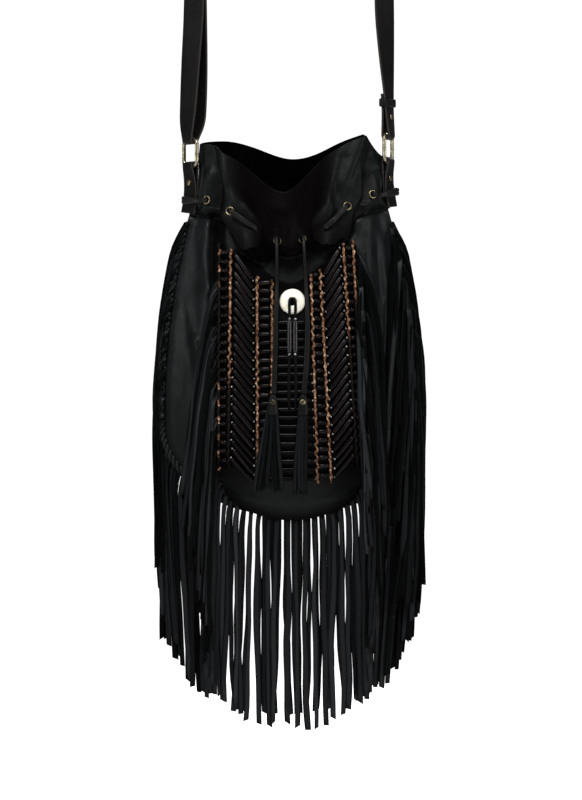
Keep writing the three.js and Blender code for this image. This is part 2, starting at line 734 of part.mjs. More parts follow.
// Fringe of the panel: strips drape over the bulge and then hang; the upper ones fan outwards
function panelFringeGeometry() {
  const { length, lift, fanLeft, fanRight, leastFan, drapeSteps, columns, rows } = PANEL_FRINGE;
  const face = (u, v) => {
    const edge = panelEdge(u);
    const outward = Math.sign(edge.x - panelMiddle) || 1;
    const height = clamp((edge.y - PANEL.bowlZ) / (COLLAR_SEAM.left - PANEL.topDrop - PANEL.bowlZ), 0, 1);
    const fan = outward < 0 ? fanLeft : fanRight;
    const spread = (leastFan + fan * height) * clamp(Math.abs(edge.x - panelMiddle) / panelHalf, 0, 1) ** 2;
    let depth = PANEL_GRID.leastDepth;
    for (let k = 0; k <= drapeSteps; k += 1) {
      const part = (v * k) / drapeSteps;
      depth = Math.max(depth, wallDepth(FRONT, edge.x + outward * spread * part, edge.y - length * part));
    }
    const x = edge.x + outward * spread * v;
    return new THREE.Vector3(x, -(depth + lift + FRINGE_WALL), edge.y - length * v);
  };
  return wall(face, columns, rows, FRINGE_WALL, { inward: straightBack });
}

// Both ends of every bead of a column, in the order in which the thread meets them
function beadRows({ first, last, count, radius }) {
  const onPanel = (x, z) => new THREE.Vector3(x, -(panelDepth(x, z) + BEAD.lift + radius), z);
  return Array.from({ length: count }, (_, k) => {
    const part = k / (count - 1);
    const mix = (name) => lerp(first[name], last[name], part);
    const ends = [onPanel(mix('x0'), mix('z0')), onPanel(mix('x1'), mix('z1'))];
    return k % 2 === 0 ? ends : ends.toReversed();
  });
}

// Slanted beads on a thread that turns outside their ends
function slantedBeads(rows, radius) {
  const stations = [];
  rows.forEach(([from, to], k) => {
    const axis = to.clone().sub(from).normalize();
    if (k > 0) {
      const before = rows[k - 1][1];
      const centre = before.clone().add(from).multiplyScalar(0.5).addScaledVector(axis, -BEAD.turn);
      stations.push({ centre, axis: from.clone().sub(before).normalize(), radius: BEAD.thread });
    }
    stations.push({ centre: from, axis, radius }, { centre: to, axis, radius });
  });
  return bar(stations, BEAD.sides);
}

// Level beads on a thread that runs from each to the next just inside their ends
function levelBeads(rows, radius) {
  const rod = (from, to, size) => {
    const axis = to.clone().sub(from).normalize();
    const ends = [from, to].map((centre) => ({ centre, axis, radius: size }));
    return toManifold(bar(ends, BEAD.sides));
  };
  const beads = rows.map(([from, to]) => rod(from, to, radius));
  const threads = rows.slice(1).map(([from, to], k) => {
    const inwards = to.clone().sub(from).normalize().multiplyScalar(BEAD.loop);
    return rod(rows[k][1].clone().add(inwards), from.clone().add(inwards), BEAD.thread);
  });
  return toGeometry(wasm.Manifold.union([...beads, ...threads]));
}

function spacerGeometry({ x0, z0, x1, z1 }) {
  const { half, lift, height, steps } = SPACER;
  const section = [
    new THREE.Vector2(-half, 0),
    new THREE.Vector2(half, 0),
    new THREE.Vector2(half, height),
    new THREE.Vector2(-half, height),
  ];
  const rings = [];
  for (let k = 0; k <= steps; k += 1) {
    const x = lerp(x0, x1, k / steps);
    const z = lerp(z0, z1, k / steps);
    const base = panelDepth(x, z) + lift;
    rings.push(section.map((p) => new THREE.Vector3(x + p.x, -(base + p.y), z)));
  }
  return loft(rings, section);
}

// Bone button with the hole that the thong comes out of
function buttonGeometry() {
  const { radius, thick, hole, sides } = BUTTON;
  const { backBevel, frontBevel, waist, dish } = BUTTON_EDGE;
  const profile = [
    new THREE.Vector2(hole, 0),
    new THREE.Vector2(radius - backBevel, 0),
    new THREE.Vector2(radius, thick * waist),
    new THREE.Vector2(radius - frontBevel, thick),
    new THREE.Vector2(hole, thick * dish),
    new THREE.Vector2(hole, 0),
  ];
  return new THREE.LatheGeometry(profile, sides);
}

const buttonBack = -(panelDepth(BUTTON.x, BUTTON.z) + BUTTON.clear);

function thongGeometry() {
  const { radius, spread, archZ, endZ } = THONG;
  const { spread: tubeSpread, topZ: tubeTopZ, y: tubeY } = THONG_TUBES;
  const { lead, rise, stand, drop, dive, sides } = THONG_BEND;
  const front = buttonBack - BUTTON.thick - GAP - radius;
  const leg = (side) => [
    new THREE.Vector3(BUTTON.x + side * tubeSpread, tubeY, endZ),
    new THREE.Vector3(BUTTON.x + side * tubeSpread, tubeY, tubeTopZ + lead),
    new THREE.Vector3(BUTTON.x + side * tubeSpread, front - stand, tubeTopZ + rise),
    new THREE.Vector3(BUTTON.x + side * spread, front, archZ - drop),
    new THREE.Vector3(BUTTON.x + side * spread, buttonBack - BUTTON.thick * dive, archZ),
  ];
  const route = [...leg(-1), ...leg(1).toReversed()];
  return cord(route, radius, sides);
}

function tubeGeometry() {
  const { length, radius, bore, sides } = TUBE;
  const profile = [
    new THREE.Vector2(bore, 0),
    new THREE.Vector2(radius, 0),
    new THREE.Vector2(radius, length),
    new THREE.Vector2(bore, length),
    new THREE.Vector2(bore, 0),
  ];
  return new THREE.LatheGeometry(profile, sides);
}

function tasselGeometry({ sections }) {
  const round = polygon(TASSEL.sides);
  const ring = ({ x, z, half, deep }) => {
    return round.map((p) => new THREE.Vector3(x + p.x * half, TASSEL.y + p.y * deep, z));
  };
  return loft(sections.map(ring), round);
}

// Directions of a strap, tab or ring turned by an angle from facing the front
const acrossAt = (turn) => new THREE.Vector3(Math.cos(degToRad(turn)), -Math.sin(degToRad(turn)), 0);
const outAt = (turn) => new THREE.Vector3(-Math.sin(degToRad(turn)), -Math.cos(degToRad(turn)), 0);

// A band of leather through stations; each gives a point of its inner side, its turn and its width
function band(stations, thickness) {
  const rows = stations.length - 1;
  const at = (v) => {
    const k = clamp(Math.floor(v * rows), 0, rows - 1);
    const part = v * rows - k;
    const [a, b] = [stations[k], stations[k + 1]];
    const point = a.point.clone().lerp(b.point, part);
    return { point, turn: lerp(a.turn, b.turn, part), width: lerp(a.width, b.width, part) };
  };
  const face = (u, v) => {
    const { point, turn, width } = at(v);
    return point.addScaledVector(acrossAt(turn), (u - 0.5) * width);
  };
  return wall(face, 1, rows, thickness);
}

// Half turn of leather round a ring's bar; sense is 1 under the bar and -1 over it
function fold(ring, barZ, width, steps, sense) {
  const reach = RING.wire + GAP;
  const stations = [];
  for (let k = 0; k <= steps; k += 1) {
    const angle = (k / steps) * Math.PI;
    const point = new THREE.Vector3(ring.x, 0, barZ - sense * reach * Math.sin(angle));
    point.addScaledVector(outAt(ring.turn), -reach * Math.cos(angle));
    stations.push({ point, turn: ring.turn, width });
  }
  return stations;
}

// Both sides of a doubled run: the one nearer the bag, and the one that carries on
function layer({ x, z, turn, open }, side, width) {
  const point = new THREE.Vector3(x, 0, z).addScaledVector(outAt(turn), side * open / 2);
  return { point, turn, width };
}

function strapGeometry() {
  const { width, ringWidth, arch, archSteps, foldSteps } = STRAP;
  const single = ({ x, z, turn }) => ({ point: new THREE.Vector3(x, 0, z), turn, width });
  const leftFold = fold(RING_LEFT, RING_LEFT.z + RING.rise, ringWidth, foldSteps, 1);
  const rightFold = fold(RING_RIGHT, RING_RIGHT.z + RING.rise, ringWidth, foldSteps, 1);
  const overTop = [];
  for (let k = 0; k <= archSteps; k += 1) {
    const angle = (k / archSteps) * Math.PI;
    const point = new THREE.Vector3(-arch * Math.cos(angle), 0, arch * Math.sin(angle) - arch);
    overTop.push({ point, turn: 90, width });
  }
  const stations = [
    ...STRAP_LEFT.map((row) => layer(row, -1, width)),
    ...leftFold,
    ...STRAP_LEFT.toReversed().map((row) => layer(row, 1, width)),
    ...STRAP_LEFT_UP.map(single),
    ...overTop,
    ...STRAP_RIGHT_DOWN.map(single),
    ...STRAP_RIGHT.map((row) => layer(row, -1, width)),
    ...rightFold,
    ...STRAP_RIGHT.toReversed().map((row) => layer(row, 1, width)),
  ];
  return band(stations, STRAP_WALL);
}

// Tab: up one side, over the ring's lower bar and down the other; the side against the collar is the shorter
function tabGeometry(ring, rows, outerSide) {
  const run = (side) => {
    const used = side === outerSide ? rows : rows.slice(0, 2);
    return used.map((row) => layer({ ...row, turn: ring.turn, open: TAB.pinch }, side, TAB.width));
  };
  const over = fold(ring, ring.z - RING.rise, TAB.width, TAB.foldSteps, -1).toReversed();
  return band([...run(1).toReversed(), ...over, ...run(-1)], TAB_WALL);
}

// Wire ring: a rectangle with round corners, closed on itself
class RingPath extends THREE.Curve {
  getPoint(t, target = new THREE.Vector3()) {
    const { half, rise, corner } = RING;
    const angle = t * 2 * Math.PI;
    const cornerX = Math.sign(Math.cos(angle)) * (half - corner);
    const cornerZ = Math.sign(Math.sin(angle)) * (rise - corner);
    const reach = Math.max(Math.abs(Math.cos(angle)) / half, Math.abs(Math.sin(angle)) / rise);
    const [x, z] = [Math.cos(angle) / reach, Math.sin(angle) / reach];
    const out = new THREE.Vector2(x - cornerX, z - cornerZ);
    const inCorner = Math.abs(x) > half - corner && Math.abs(z) > rise - corner;
    if (!inCorner) return target.set(x, 0, z);
    out.setLength(corner);
    return target.set(cornerX + out.x, 0, cornerZ + out.y);
  }
}

function rivetGeometry(radius) {
  const profile = RIVET_DOME.map(({ out, up }) => new THREE.Vector2(radius * out, RIVET.rise * up));
  return new THREE.LatheGeometry(profile, RIVET.sides);
}

function keeperGeometry() {
  const { wall: thick, height, width, depth } = KEEPER;
  const outline = (w, d) => [
    new THREE.Vector2(-w / 2, -d / 2),
    new THREE.Vector2(w / 2, -d / 2),
    new THREE.Vector2(w / 2, d / 2),
    new THREE.Vector2(-w / 2, d / 2),
  ];
  const shape = new THREE.Shape(outline(width + 2 * thick, depth + 2 * thick));
  shape.holes.push(new THREE.Path(outline(width, depth)));
  return new THREE.ExtrudeGeometry(shape, { depth: height, bevelEnabled: false });
}

// Assembly
const bag = new THREE.Group();
bag.name = 'leather_bag';

function group(name) {
  const made = new THREE.Group();
  made.name = name;
  bag.add(made);
  return made;
}

function add(parent, name, geometry, look) {
  const mesh = new THREE.Mesh(geometry, new THREE.MeshStandardMaterial(look));
  mesh.name = name;
  parent.add(mesh);
  return mesh;
}

const shell = group('shell');
add(shell, 'front_body', bodyWall(FRONT, false), BLACK_LEATHER);
add(shell, 'back_body', bodyWall(BACK, true), BLACK_LEATHER);
add(shell, 'collar', collarGeometry(), BLACK_LEATHER);
add(shell, 'edge_lacing', lacingGeometry(), BLACK_LEATHER);
add(shell, 'side_fringe', sideFringeGeometry(), BLACK_LEATHER);

const beadwork = group('beadwork');
add(beadwork, 'bead_panel', panelGeometry(), BLACK_LEATHER);
add(beadwork, 'panel_fringe', panelFringeGeometry(), BLACK_LEATHER);
for (const column of BEAD_COLUMNS) {
  const strung = column.slanted ? slantedBeads : levelBeads;
  add(beadwork, column.name, strung(beadRows(column), column.radius), DARK_BEAD);
}
SPACERS.forEach((spacer, i) => add(beadwork, `spacer_${i + 1}`, spacerGeometry(spacer), TAN_LEATHER));
const forward = new THREE.Vector3(0, -1, 0);
const button = add(beadwork, 'button_disc', buttonGeometry(), BONE);
place(button, new THREE.Vector3(BUTTON.x, buttonBack, BUTTON.z), forward);
add(beadwork, 'button_thong', thongGeometry(), BLACK_LEATHER);
for (const [name, side] of [['pendant_tube_left', -1], ['pendant_tube_right', 1]]) {
  const tube = add(beadwork, name, tubeGeometry(), DARK_BEAD);
  const top = new THREE.Vector3(BUTTON.x + side * THONG_TUBES.spread, THONG_TUBES.y, THONG_TUBES.topZ);
  place(tube, top, new THREE.Vector3(0, 0, -1));
}

const drawstring = group('drawstring');
seats.forEach(({ point, normal }, i) => {
  const number = String(i + 1).padStart(2, '0');
  place(add(drawstring, `eyelet_${number}`, eyeletGeometry(), BRASS), point, normal);
});
add(drawstring, 'drawcord', cord(drawcordPoints(), CORD.radius, CORD.sides), BLACK_LEATHER);
add(drawstring, 'drawcord_end_left', cordEndGeometry(seats[0], CORD_END_LEFT), BLACK_LEATHER);
add(drawstring, 'drawcord_end_right', cordEndGeometry(seats.at(-1), CORD_END_RIGHT), BLACK_LEATHER);
for (const tassel of TASSELS) {
  add(drawstring, `tassel_${tassel.side}`, tasselGeometry(tassel), BLACK_LEATHER);
  const front = new THREE.Vector3(tassel.rivetX, TASSEL.y - TASSEL.rivetOff, TASSEL.rivetZ);
  place(add(drawstring, `tassel_rivet_${tassel.side}`, rivetGeometry(RIVET.radius), BRASS), front, forward);
}

const carrying = group('carrying');
add(carrying, 'strap', strapGeometry(), BLACK_LEATHER);
const ringPath = new RingPath();
const sides = [
  { side: 'left', ring: RING_LEFT, tab: TAB_LEFT, outerSide: 1 },
  { side: 'right', ring: RING_RIGHT, tab: TAB_RIGHT, outerSide: -1 },
];
for (const { side, ring, tab, outerSide } of sides) {
  const wire = new THREE.TubeGeometry(ringPath, RING.segments, RING.wire, RING.sides, true);
  const mesh = add(carrying, `ring_${side}`, wire, BRASS);
  mesh.position.set(ring.x, 0, ring.z);
  mesh.rotation.z = -degToRad(ring.turn);
  add(carrying, `ring_tab_${side}`, tabGeometry(ring, tab, outerSide), BLACK_LEATHER);
  const outward = outAt(ring.turn).multiplyScalar(outerSide);
  const seat = new THREE.Vector3(tab[0].x, 0, tab[0].z);
  seat.addScaledVector(outward, TAB.pinch / 2 + TAB_WALL + 2 * GAP);
  place(add(carrying, `tab_rivet_${side}`, rivetGeometry(RIVET.radius), BRASS), seat, outward);
}
const keeper = add(carrying, 'strap_keeper', keeperGeometry(), BLACK_LEATHER);
keeper.position.set(KEEPER.x, 0, KEEPER.z - KEEPER.height / 2);
keeper.rotation.z = -degToRad(KEEPER.turn);
const strapOut = outAt(KEEPER.turn).negate();
const rivetSeat = new THREE.Vector3(STRAP_RIVET.x, 0, STRAP_RIVET.z);
rivetSeat.addScaledVector(strapOut, STRAP_RIGHT[1].open / 2 + STRAP_WALL + 2 * GAP);
place(add(carrying, 'strap_rivet', rivetGeometry(STRAP_RIVET.radius), BRASS), rivetSeat, strapOut);

export default bag;
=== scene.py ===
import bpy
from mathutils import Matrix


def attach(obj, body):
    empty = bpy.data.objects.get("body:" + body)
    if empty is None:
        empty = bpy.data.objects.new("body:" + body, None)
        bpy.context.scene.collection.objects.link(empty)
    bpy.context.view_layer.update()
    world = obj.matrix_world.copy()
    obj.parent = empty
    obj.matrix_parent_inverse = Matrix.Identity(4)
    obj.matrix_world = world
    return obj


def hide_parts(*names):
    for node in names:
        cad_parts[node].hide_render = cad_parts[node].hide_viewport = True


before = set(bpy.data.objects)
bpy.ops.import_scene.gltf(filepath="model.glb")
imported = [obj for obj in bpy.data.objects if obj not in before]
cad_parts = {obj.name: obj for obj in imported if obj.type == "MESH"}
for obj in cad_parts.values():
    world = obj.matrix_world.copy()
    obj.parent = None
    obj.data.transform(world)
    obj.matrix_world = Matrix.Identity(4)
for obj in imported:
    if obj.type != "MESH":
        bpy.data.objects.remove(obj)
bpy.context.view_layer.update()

import bpy
import numpy as np
from mathutils import Vector

# Front and back walls: two U-shaped pieces of soft black cowhide, suede inside, pillowed by the fill.
# The front swells more than the back, and long soft folds run down from the gathered top.
# They are sewn face to face round the sides and the bottom, where each keeps a flat edge.
BODY_TOP, BODY_BOWL = -0.556, -0.797
BODY_HALF, BODY_DROP = 0.141, 0.097
BODY_TAPER, TAPER_POWER = 0.033, 2.2
FLAT_EDGE, BOTTOM_HALF = 0.011, 0.020
PILLOW_POWER = 2.4
WALL_THICK = 0.0018
SEAM_LEFT, SEAM_RIGHT, SEAM_HALF = -0.565, -0.558, 0.111
SEAM_SAG, SEAM_SAG_HALF = 0.050, 0.046
# how far a wall slips behind the collar, its puff and its sink there, and how softly the flat edge bends
TUCK_IN, SEAM_PUFF, SEAM_SINK, EDGE_SOFT = 0.004, 0.0016, 0.0044, 0.08
GATHER = {"size": 0.0008, "pitch": 0.017, "bend": 0.013, "quick": 0.0047, "fade": 0.045}
RIPPLE = 0.0007
FRONT_WALL = {
    "side": -1,
    "edge": 0.002,
    "bulge": 0.050,
    "top_bulge": 0.040,
    # fold lines: x and z of the upper end, x and z of the lower end, half width, height
    "folds": [
        (-0.095, -0.580, -0.092, -0.650, 0.0065, 0.005),
        (-0.092, -0.650, -0.103, -0.745, 0.0070, 0.004),
        (-0.112, -0.640, -0.122, -0.760, 0.0070, -0.003),
        (0.092, -0.570, 0.091, -0.680, 0.0065, 0.005),
        (0.108, -0.600, 0.116, -0.740, 0.0080, -0.003),
    ],
    "creases": [
        (-0.1030, -0.578, -0.0870, -0.650, 0.0042, 0.0042),
        (-0.0825, -0.556, -0.0835, -0.660, 0.0042, -0.0060),
        (-0.0925, -0.556, -0.0905, -0.630, 0.0060, 0.0030),
        (-0.1145, -0.662, -0.1045, -0.704, 0.0045, 0.0036),
        (-0.1045, -0.704, -0.0985, -0.740, 0.0045, 0.0036),
        (-0.1100, -0.715, -0.1040, -0.760, 0.0050, -0.0024),
        (0.1020, -0.590, 0.1085, -0.660, 0.0040, 0.0038),
        (0.0930, -0.585, 0.1010, -0.655, 0.0040, -0.0030),
        (0.0690, -0.552, 0.0660, -0.592, 0.0045, -0.0055),
        (0.0800, -0.552, 0.0850, -0.640, 0.0060, 0.0040),
        (0.1120, -0.640, 0.1180, -0.740, 0.0050, 0.0025),
    ],
}
BACK_WALL = {
    "side": 1,
    "edge": 0.002,
    "bulge": 0.036,
    "top_bulge": 0.028,
    "folds": [
        (-0.055, -0.570, -0.048, -0.720, 0.014, 0.004),
        (0.060, -0.570, 0.044, -0.760, 0.016, 0.004),
    ],
    "creases": [
        (-0.020, -0.570, -0.034, -0.680, 0.005, 0.0022),
        (0.018, -0.570, 0.026, -0.660, 0.005, 0.0020),
        (-0.090, -0.575, -0.086, -0.690, 0.006, 0.0024),
        (0.094, -0.570, 0.084, -0.700, 0.006, 0.0024),
    ],
}


def smooth_step(value, low, high):
    """Rises from 0 at low to 1 at high along 3t^2 - 2t^3."""
    t = np.clip((value - low) / (high - low), 0, 1)
    return t * t * (3 - 2 * t)


def smooth_fall(value, low, high):
    """Falls from 1 at low to 0 at high, one minus the smooth step."""
    return 1 - smooth_step(value, low, high)


def bell(away, half):
    """A bell of exp(-(distance / half width)^2)."""
    return np.exp(-((away / half) ** 2))


def body_half(z):
    """Half width of the walls: a power taper above the bowl, half an ellipse below it."""
    rise = np.clip((z - BODY_BOWL) / (BODY_TOP - BODY_BOWL), 0, None)
    fall = np.clip((BODY_BOWL - z) / BODY_DROP, 0, 1)
    above = BODY_HALF - BODY_TAPER * rise**TAPER_POWER
    return np.where(z >= BODY_BOWL, above, BODY_HALF * np.sqrt(1 - fall**2))


def inside_edge(x, z):
    """One minus a power of the outline ratio: 1 in the middle of a wall, 0 where its flat edge begins."""
    beside = np.abs(x) / body_half(np.maximum(z, BODY_BOWL))
    below = np.hypot(x / BODY_HALF, (BODY_BOWL - z) / BODY_DROP)
    ratio = np.where(z >= BODY_BOWL, beside, below)
    return 1 - (ratio / (1 - FLAT_EDGE / BODY_HALF)) ** PILLOW_POWER


def ridges(lines, x, z):
    """Sum of bells across straight lines: height times the bell of the distance from each line."""
    total = np.zeros(np.broadcast(x, z).shape)
    for x0, z0, x1, z1, half, height in lines:
        run_x, run_z = x1 - x0, z1 - z0
        along = np.clip(((x - x0) * run_x + (z - z0) * run_z) / (run_x**2 + run_z**2), 0, 1)
        away = np.hypot(x - x0 - along * run_x, z - z0 - along * run_z)
        total += height * bell(away, half)
    return total


def wall_depth(wall, x, z):
    """Distance from the seam plane: edge, plus bulge times swell, plus a bell across each fold line."""
    swell = np.maximum(0, inside_edge(x, z))
    upper = np.clip((z - BODY_BOWL) / (BODY_TOP - BODY_BOWL), 0, 1)
    bulge = wall["bulge"] + (wall["top_bulge"] - wall["bulge"]) * upper**2
    return wall["edge"] + bulge * swell + ridges(wall["folds"], x, z) * np.minimum(1, 3 * swell)


def seam_height(x, back=False):
    """Height of the collar seam: level between its sides, and on the front a sag 1/(1 + (x/h)^2)."""
    s = np.clip(x / SEAM_HALF, -1, 1)
    level = SEAM_LEFT + (SEAM_RIGHT - SEAM_LEFT) * (s + 1) / 2
    sag = SEAM_SAG * (1 - s * s) ** 0.6 / (1 + (x / SEAM_SAG_HALF) ** 2)
    return level if back else level - sag


def wall_soft(wall, x, z):
    """Soft relief of a wall: gathers that fade down from the seam, a slow ripple, and its creases."""
    below = np.clip(seam_height(x, wall["side"] > 0) - z, 0, None)
    bent = x / GATHER["pitch"] + 0.25 * np.sin(z / GATHER["bend"])
    gathers = np.sin(2 * np.pi * bent) + 0.6 * np.sin(x / GATHER["quick"] + 2)
    ripple = np.sin(x / 0.011 + z / 0.023) * np.sin(z / 0.017 - x / 0.031)
    relief = GATHER["size"] * gathers * np.exp(-below / GATHER["fade"]) + RIPPLE * ripple
    return np.clip(3 * inside_edge(x, z), 0, 1) * (relief + ridges(wall["creases"], x, z))


def wall_points(wall, columns, side_rows, bowl_rows):
    """Grid of a wall: rows from the collar seam to the bowl and then by bowl angle, columns across.
    The first rows slip behind the collar, the relief is left out under the panel, and the swell rises
    out of the flat edge in a soft curve, half of hypot(s, e) - |s|."""
    t = np.linspace(-1, 1, columns)[None, :]
    seam = seam_height(t * body_half(BODY_TOP), wall["side"] > 0)
    top = seam + TUCK_IN
    z = top + (BODY_BOWL - top) * np.linspace(0, 1, side_rows)[:, None]
    x = t * body_half(z)
    angle = np.linspace(0, np.arccos(BOTTOM_HALF / BODY_HALF), bowl_rows + 1)[1:, None]
    x = np.vstack([x, t * BODY_HALF * np.cos(angle)])
    z = np.vstack([z, BODY_BOWL - BODY_DROP * np.sin(angle) + 0 * t])
    over_panel, beside_panel = smooth_step(z - seam, -0.024, -0.012), smooth_step(np.abs(x), 0.0805, 0.088)
    free = np.maximum(over_panel, beside_panel) if wall["side"] < 0 else 1.0
    edge = inside_edge(x, z)
    depth = wall_depth(wall, x, z) + free * wall_soft(wall, x, z)
    depth = depth + wall["bulge"] * 0.5 * (np.hypot(edge, EDGE_SOFT) - np.abs(edge))
    depth = depth + SEAM_PUFF * smooth_step(z - seam, -0.014, -0.003)
    depth = depth - SEAM_SINK * smooth_step(z - seam, -0.0022, 0.0005)
    return np.stack([x, wall["side"] * depth, z], -1)


def shape(
    name, points, finishes, loop_rows=False, loop_columns=False, turn_over=False, ends=False, tone=None
):
    """Mesh of one or more grids of points, indexed strip, row and column. Each cell is a quad, a loop joins
    the last line of points to the first, ends close the first and last rows, and tone is kept by point."""
    points = np.asarray(points, float)
    grids = points.reshape((-1,) + points.shape[-3:])
    columns = grids.shape[2]
    place = np.arange(grids[..., 0].size).reshape(grids.shape[:3])
    cells = np.concatenate([place, place[:, :1]], 1) if loop_rows else place
    cells = np.concatenate([cells, cells[:, :, :1]], 2) if loop_columns else cells
    upper, lower = cells[:, :-1], cells[:, 1:]
    quads = np.stack([upper[..., :-1], upper[..., 1:], lower[..., 1:], lower[..., :-1]], -1).reshape(-1, 4)
    caps = np.concatenate([place[:, 0, ::-1], place[:, -1]]) if ends else np.zeros((0, columns), int)
    if turn_over:
        quads, caps = quads[:, ::-1], caps[:, ::-1]
    corners = np.concatenate([quads.ravel(), caps.ravel()]).astype(np.int32)
    sizes = np.concatenate([np.full(len(quads), 4), np.full(len(caps), columns)])
    starts = np.concatenate([[0], np.cumsum(sizes)[:-1]]).astype(np.int32)
    mesh = bpy.data.meshes.new(name)
    mesh.vertices.add(place.size)
    mesh.vertices.foreach_set("co", grids.ravel())
    mesh.loops.add(corners.size)
    mesh.loops.foreach_set("vertex_index", corners)
    mesh.polygons.add(sizes.size)
    mesh.polygons.foreach_set("loop_start", starts)
    mesh.polygons.foreach_set("use_smooth", sizes == 4)
    mesh.update(calc_edges=True)
    if tone is not None:
        kept = mesh.attributes.new("tone", "FLOAT", "POINT")
        kept.data.foreach_set("value", np.broadcast_to(tone, place.shape).ravel().astype(np.float32))
    for finish in finishes:
        mesh.materials.append(finish)
    piece = bpy.data.objects.new(name, mesh)
    bpy.context.scene.collection.objects.link(piece)
    return piece


def fit(piece, slot, *nodes):
    """The piece rides on the bag and stands for those nodes; slot is not used."""
    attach(piece, "root")
    if nodes:
        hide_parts(*nodes)
    return piece


def thicken(piece, thickness, inside=0, rim=0):
    """Gives a skin its leather thickness inwards, with the inner face and the cut rim in other finishes."""
    wall = piece.modifiers.new("leather", "SOLIDIFY")
    wall.thickness = thickness
    wall.offset = -1
    wall.use_even_offset = False
    wall.material_offset = inside
    wall.material_offset_rim = rim
    return piece


def give(node, sockets):
    """Gives each named input of a node a plain value or the output that feeds it."""
    for name, value in sockets.items():
        if isinstance(value, bpy.types.NodeSocket):
            node.id_data.links.new(value, node.inputs[name])
        else:
            node.inputs[name].default_value = value


def put(tree, kind, sockets, **settings):
    """Adds a node with its settings and gives its inputs."""
    node = tree.nodes.new(kind)
    for name, value in settings.items():
        setattr(node, name, value)
    give(node, sockets)
    return node


def finish_of(name, **sockets):
    """A new finish whose shader sockets take plain values; returns it with its tree, shader and place."""
    material = bpy.data.materials.new(name)
    material.use_nodes = True
    tree = material.node_tree
    shader = tree.nodes["Principled BSDF"]
    give(shader, {socket.replace("_", " "): value for socket, value in sockets.items()})
    return material, tree, shader, put(tree, "ShaderNodeTexCoord", {}).outputs["Object"]


def tone_of(tree):
    """The tone that the mesh keeps by point."""
    return put(tree, "ShaderNodeAttribute", {}, attribute_name="tone").outputs["Fac"]


def noise(tree, place, scale, detail=3.0, **more):
    """Noise of that scale through the piece, about 0.3 to 0.7."""
    sockets = {"Vector": place, "Scale": scale, "Detail": detail} | more
    return put(tree, "ShaderNodeTexNoise", sockets).outputs["Fac"]


def pebbles(tree, place, scale):
    """Distance from the borders of small cells, as in the grain of a hide."""
    sockets = {"Vector": place, "Scale": scale}
    return put(tree, "ShaderNodeTexVoronoi", sockets, feature="DISTANCE_TO_EDGE").outputs["Distance"]


def levels(tree, value, low, high, first=0.0, last=1.0):
    """A value that runs from first to last, carried over to low to high."""
    sockets = {"Value": value, "From Min": first, "From Max": last, "To Min": low, "To Max": high}
    return put(tree, "ShaderNodeMapRange", sockets).outputs["Result"]


def ramp(tree, value, first, *between_and_last):
    """Colours blended along a value between stops of (value, colour)."""
    node = put(tree, "ShaderNodeValToRGB", {"Fac": value})
    *between, last = between_and_last
    for element, (position, colour) in zip(node.color_ramp.elements, (first, last)):
        element.position, element.color = position, (*colour, 1)
    for position, colour in between:
        node.color_ramp.elements.new(position).color = (*colour, 1)
    return node.outputs["Color"]


def blend(tree, share, colour, other):
    """A colour that turns into a plain other one as the share goes from 0 to 1."""
    return put(tree, "ShaderNodeMix", {0: share, 6: colour, 7: (*other, 1)}, data_type="RGBA").outputs[2]


def bump(tree, height, strength, distance, **under):
    """Normal of a relief of that height, laid over the normal under it."""
    sockets = {"Height": height, "Strength": strength, "Distance": distance} | under
    return put(tree, "ShaderNodeBump", sockets).outputs["Normal"]


def spread_colour(tree, place, scale, dark, light, detail=3.0):
    """A colour that drifts between dark and light with noise of that scale."""
    return ramp(tree, noise(tree, place, scale, detail), (0.34, dark), (0.68, light))


def spread_value(tree, place, scale, low, high):
    """A number that drifts between low and high with noise of that scale."""
    return levels(tree, noise(tree, place, scale), low, high, 0.3, 0.7)


def cowhide(name, dark, light, rough, crease=0.35, grain=0.25, shade_colour=None, shine=0.14):
    """Soft dyed hide: mottled black, pebbled grain of small cells with pores, and broad shallow creases.
    With a shade colour the hide turns to that colour, painted shade, and loses its shine towards tone 1."""
    material, tree, shader, place = finish_of(name, Specular_IOR_Level=shine)
    colour = spread_colour(tree, place, 22, dark, light)
    if shade_colour:
        tone = tone_of(tree)
        colour = blend(tree, tone, colour, shade_colour)
        give(shader, {"Specular IOR Level": levels(tree, tone, shine, 0.01)})
    creases = bump(tree, noise(tree, place, 62, 5, Distortion=0.8), crease, 0.003)
    give(shader, {
        "Base Color": colour,
        "Roughness": spread_value(tree, place, 55, rough - 0.07, rough + 0.09),
        "Normal": bump(tree, pebbles(tree, place, 640), grain, 0.0005, Normal=creases),
    })
    return material


def suede(name, dark, light):
    """Flesh side of the hide: without shine, with a short nap that catches light at a grazing angle."""
    material, tree, shader, place = finish_of(
        name, Specular_IOR_Level=0.0, Roughness=0.95, Sheen_Weight=0.004, Sheen_Roughness=0.6
    )
    give(shader, {
        "Base Color": spread_colour(tree, place, 160, dark, light, 6),
        "Normal": bump(tree, noise(tree, place, 900), 0.5, 0.0005),
    })
    return material


black_hide = cowhide("black_hide", (0.0022, 0.0028, 0.0030), (0.0046, 0.0058, 0.0062), 0.48)
# a lighter, shinier copy of the body hide, painted light; its shade colour is painted shade
front_hide_painted_light = cowhide(
    "front_hide_painted_light", (0.0027, 0.0035, 0.0038), (0.0056, 0.0071, 0.0076), 0.48,
    shade_colour=(0.0015, 0.0013, 0.0013), shine=0.16,
)
# the flesh side's own dark colour, darkened further as painted shade inside the bag and on the panel's cut
# rim
inner_suede_shaded = suede("inner_suede_shaded", (0.0004, 0.0003, 0.0003), (0.0010, 0.0008, 0.0008))
cut_edge = suede("cut_edge", (0.008, 0.0075, 0.007), (0.026, 0.024, 0.022))

front_points = wall_points(FRONT_WALL, 141, 84, 30)
front_x, _, front_z = np.moveaxis(front_points, -1, 0)
under_collar = seam_height(front_x) - front_z - TUCK_IN
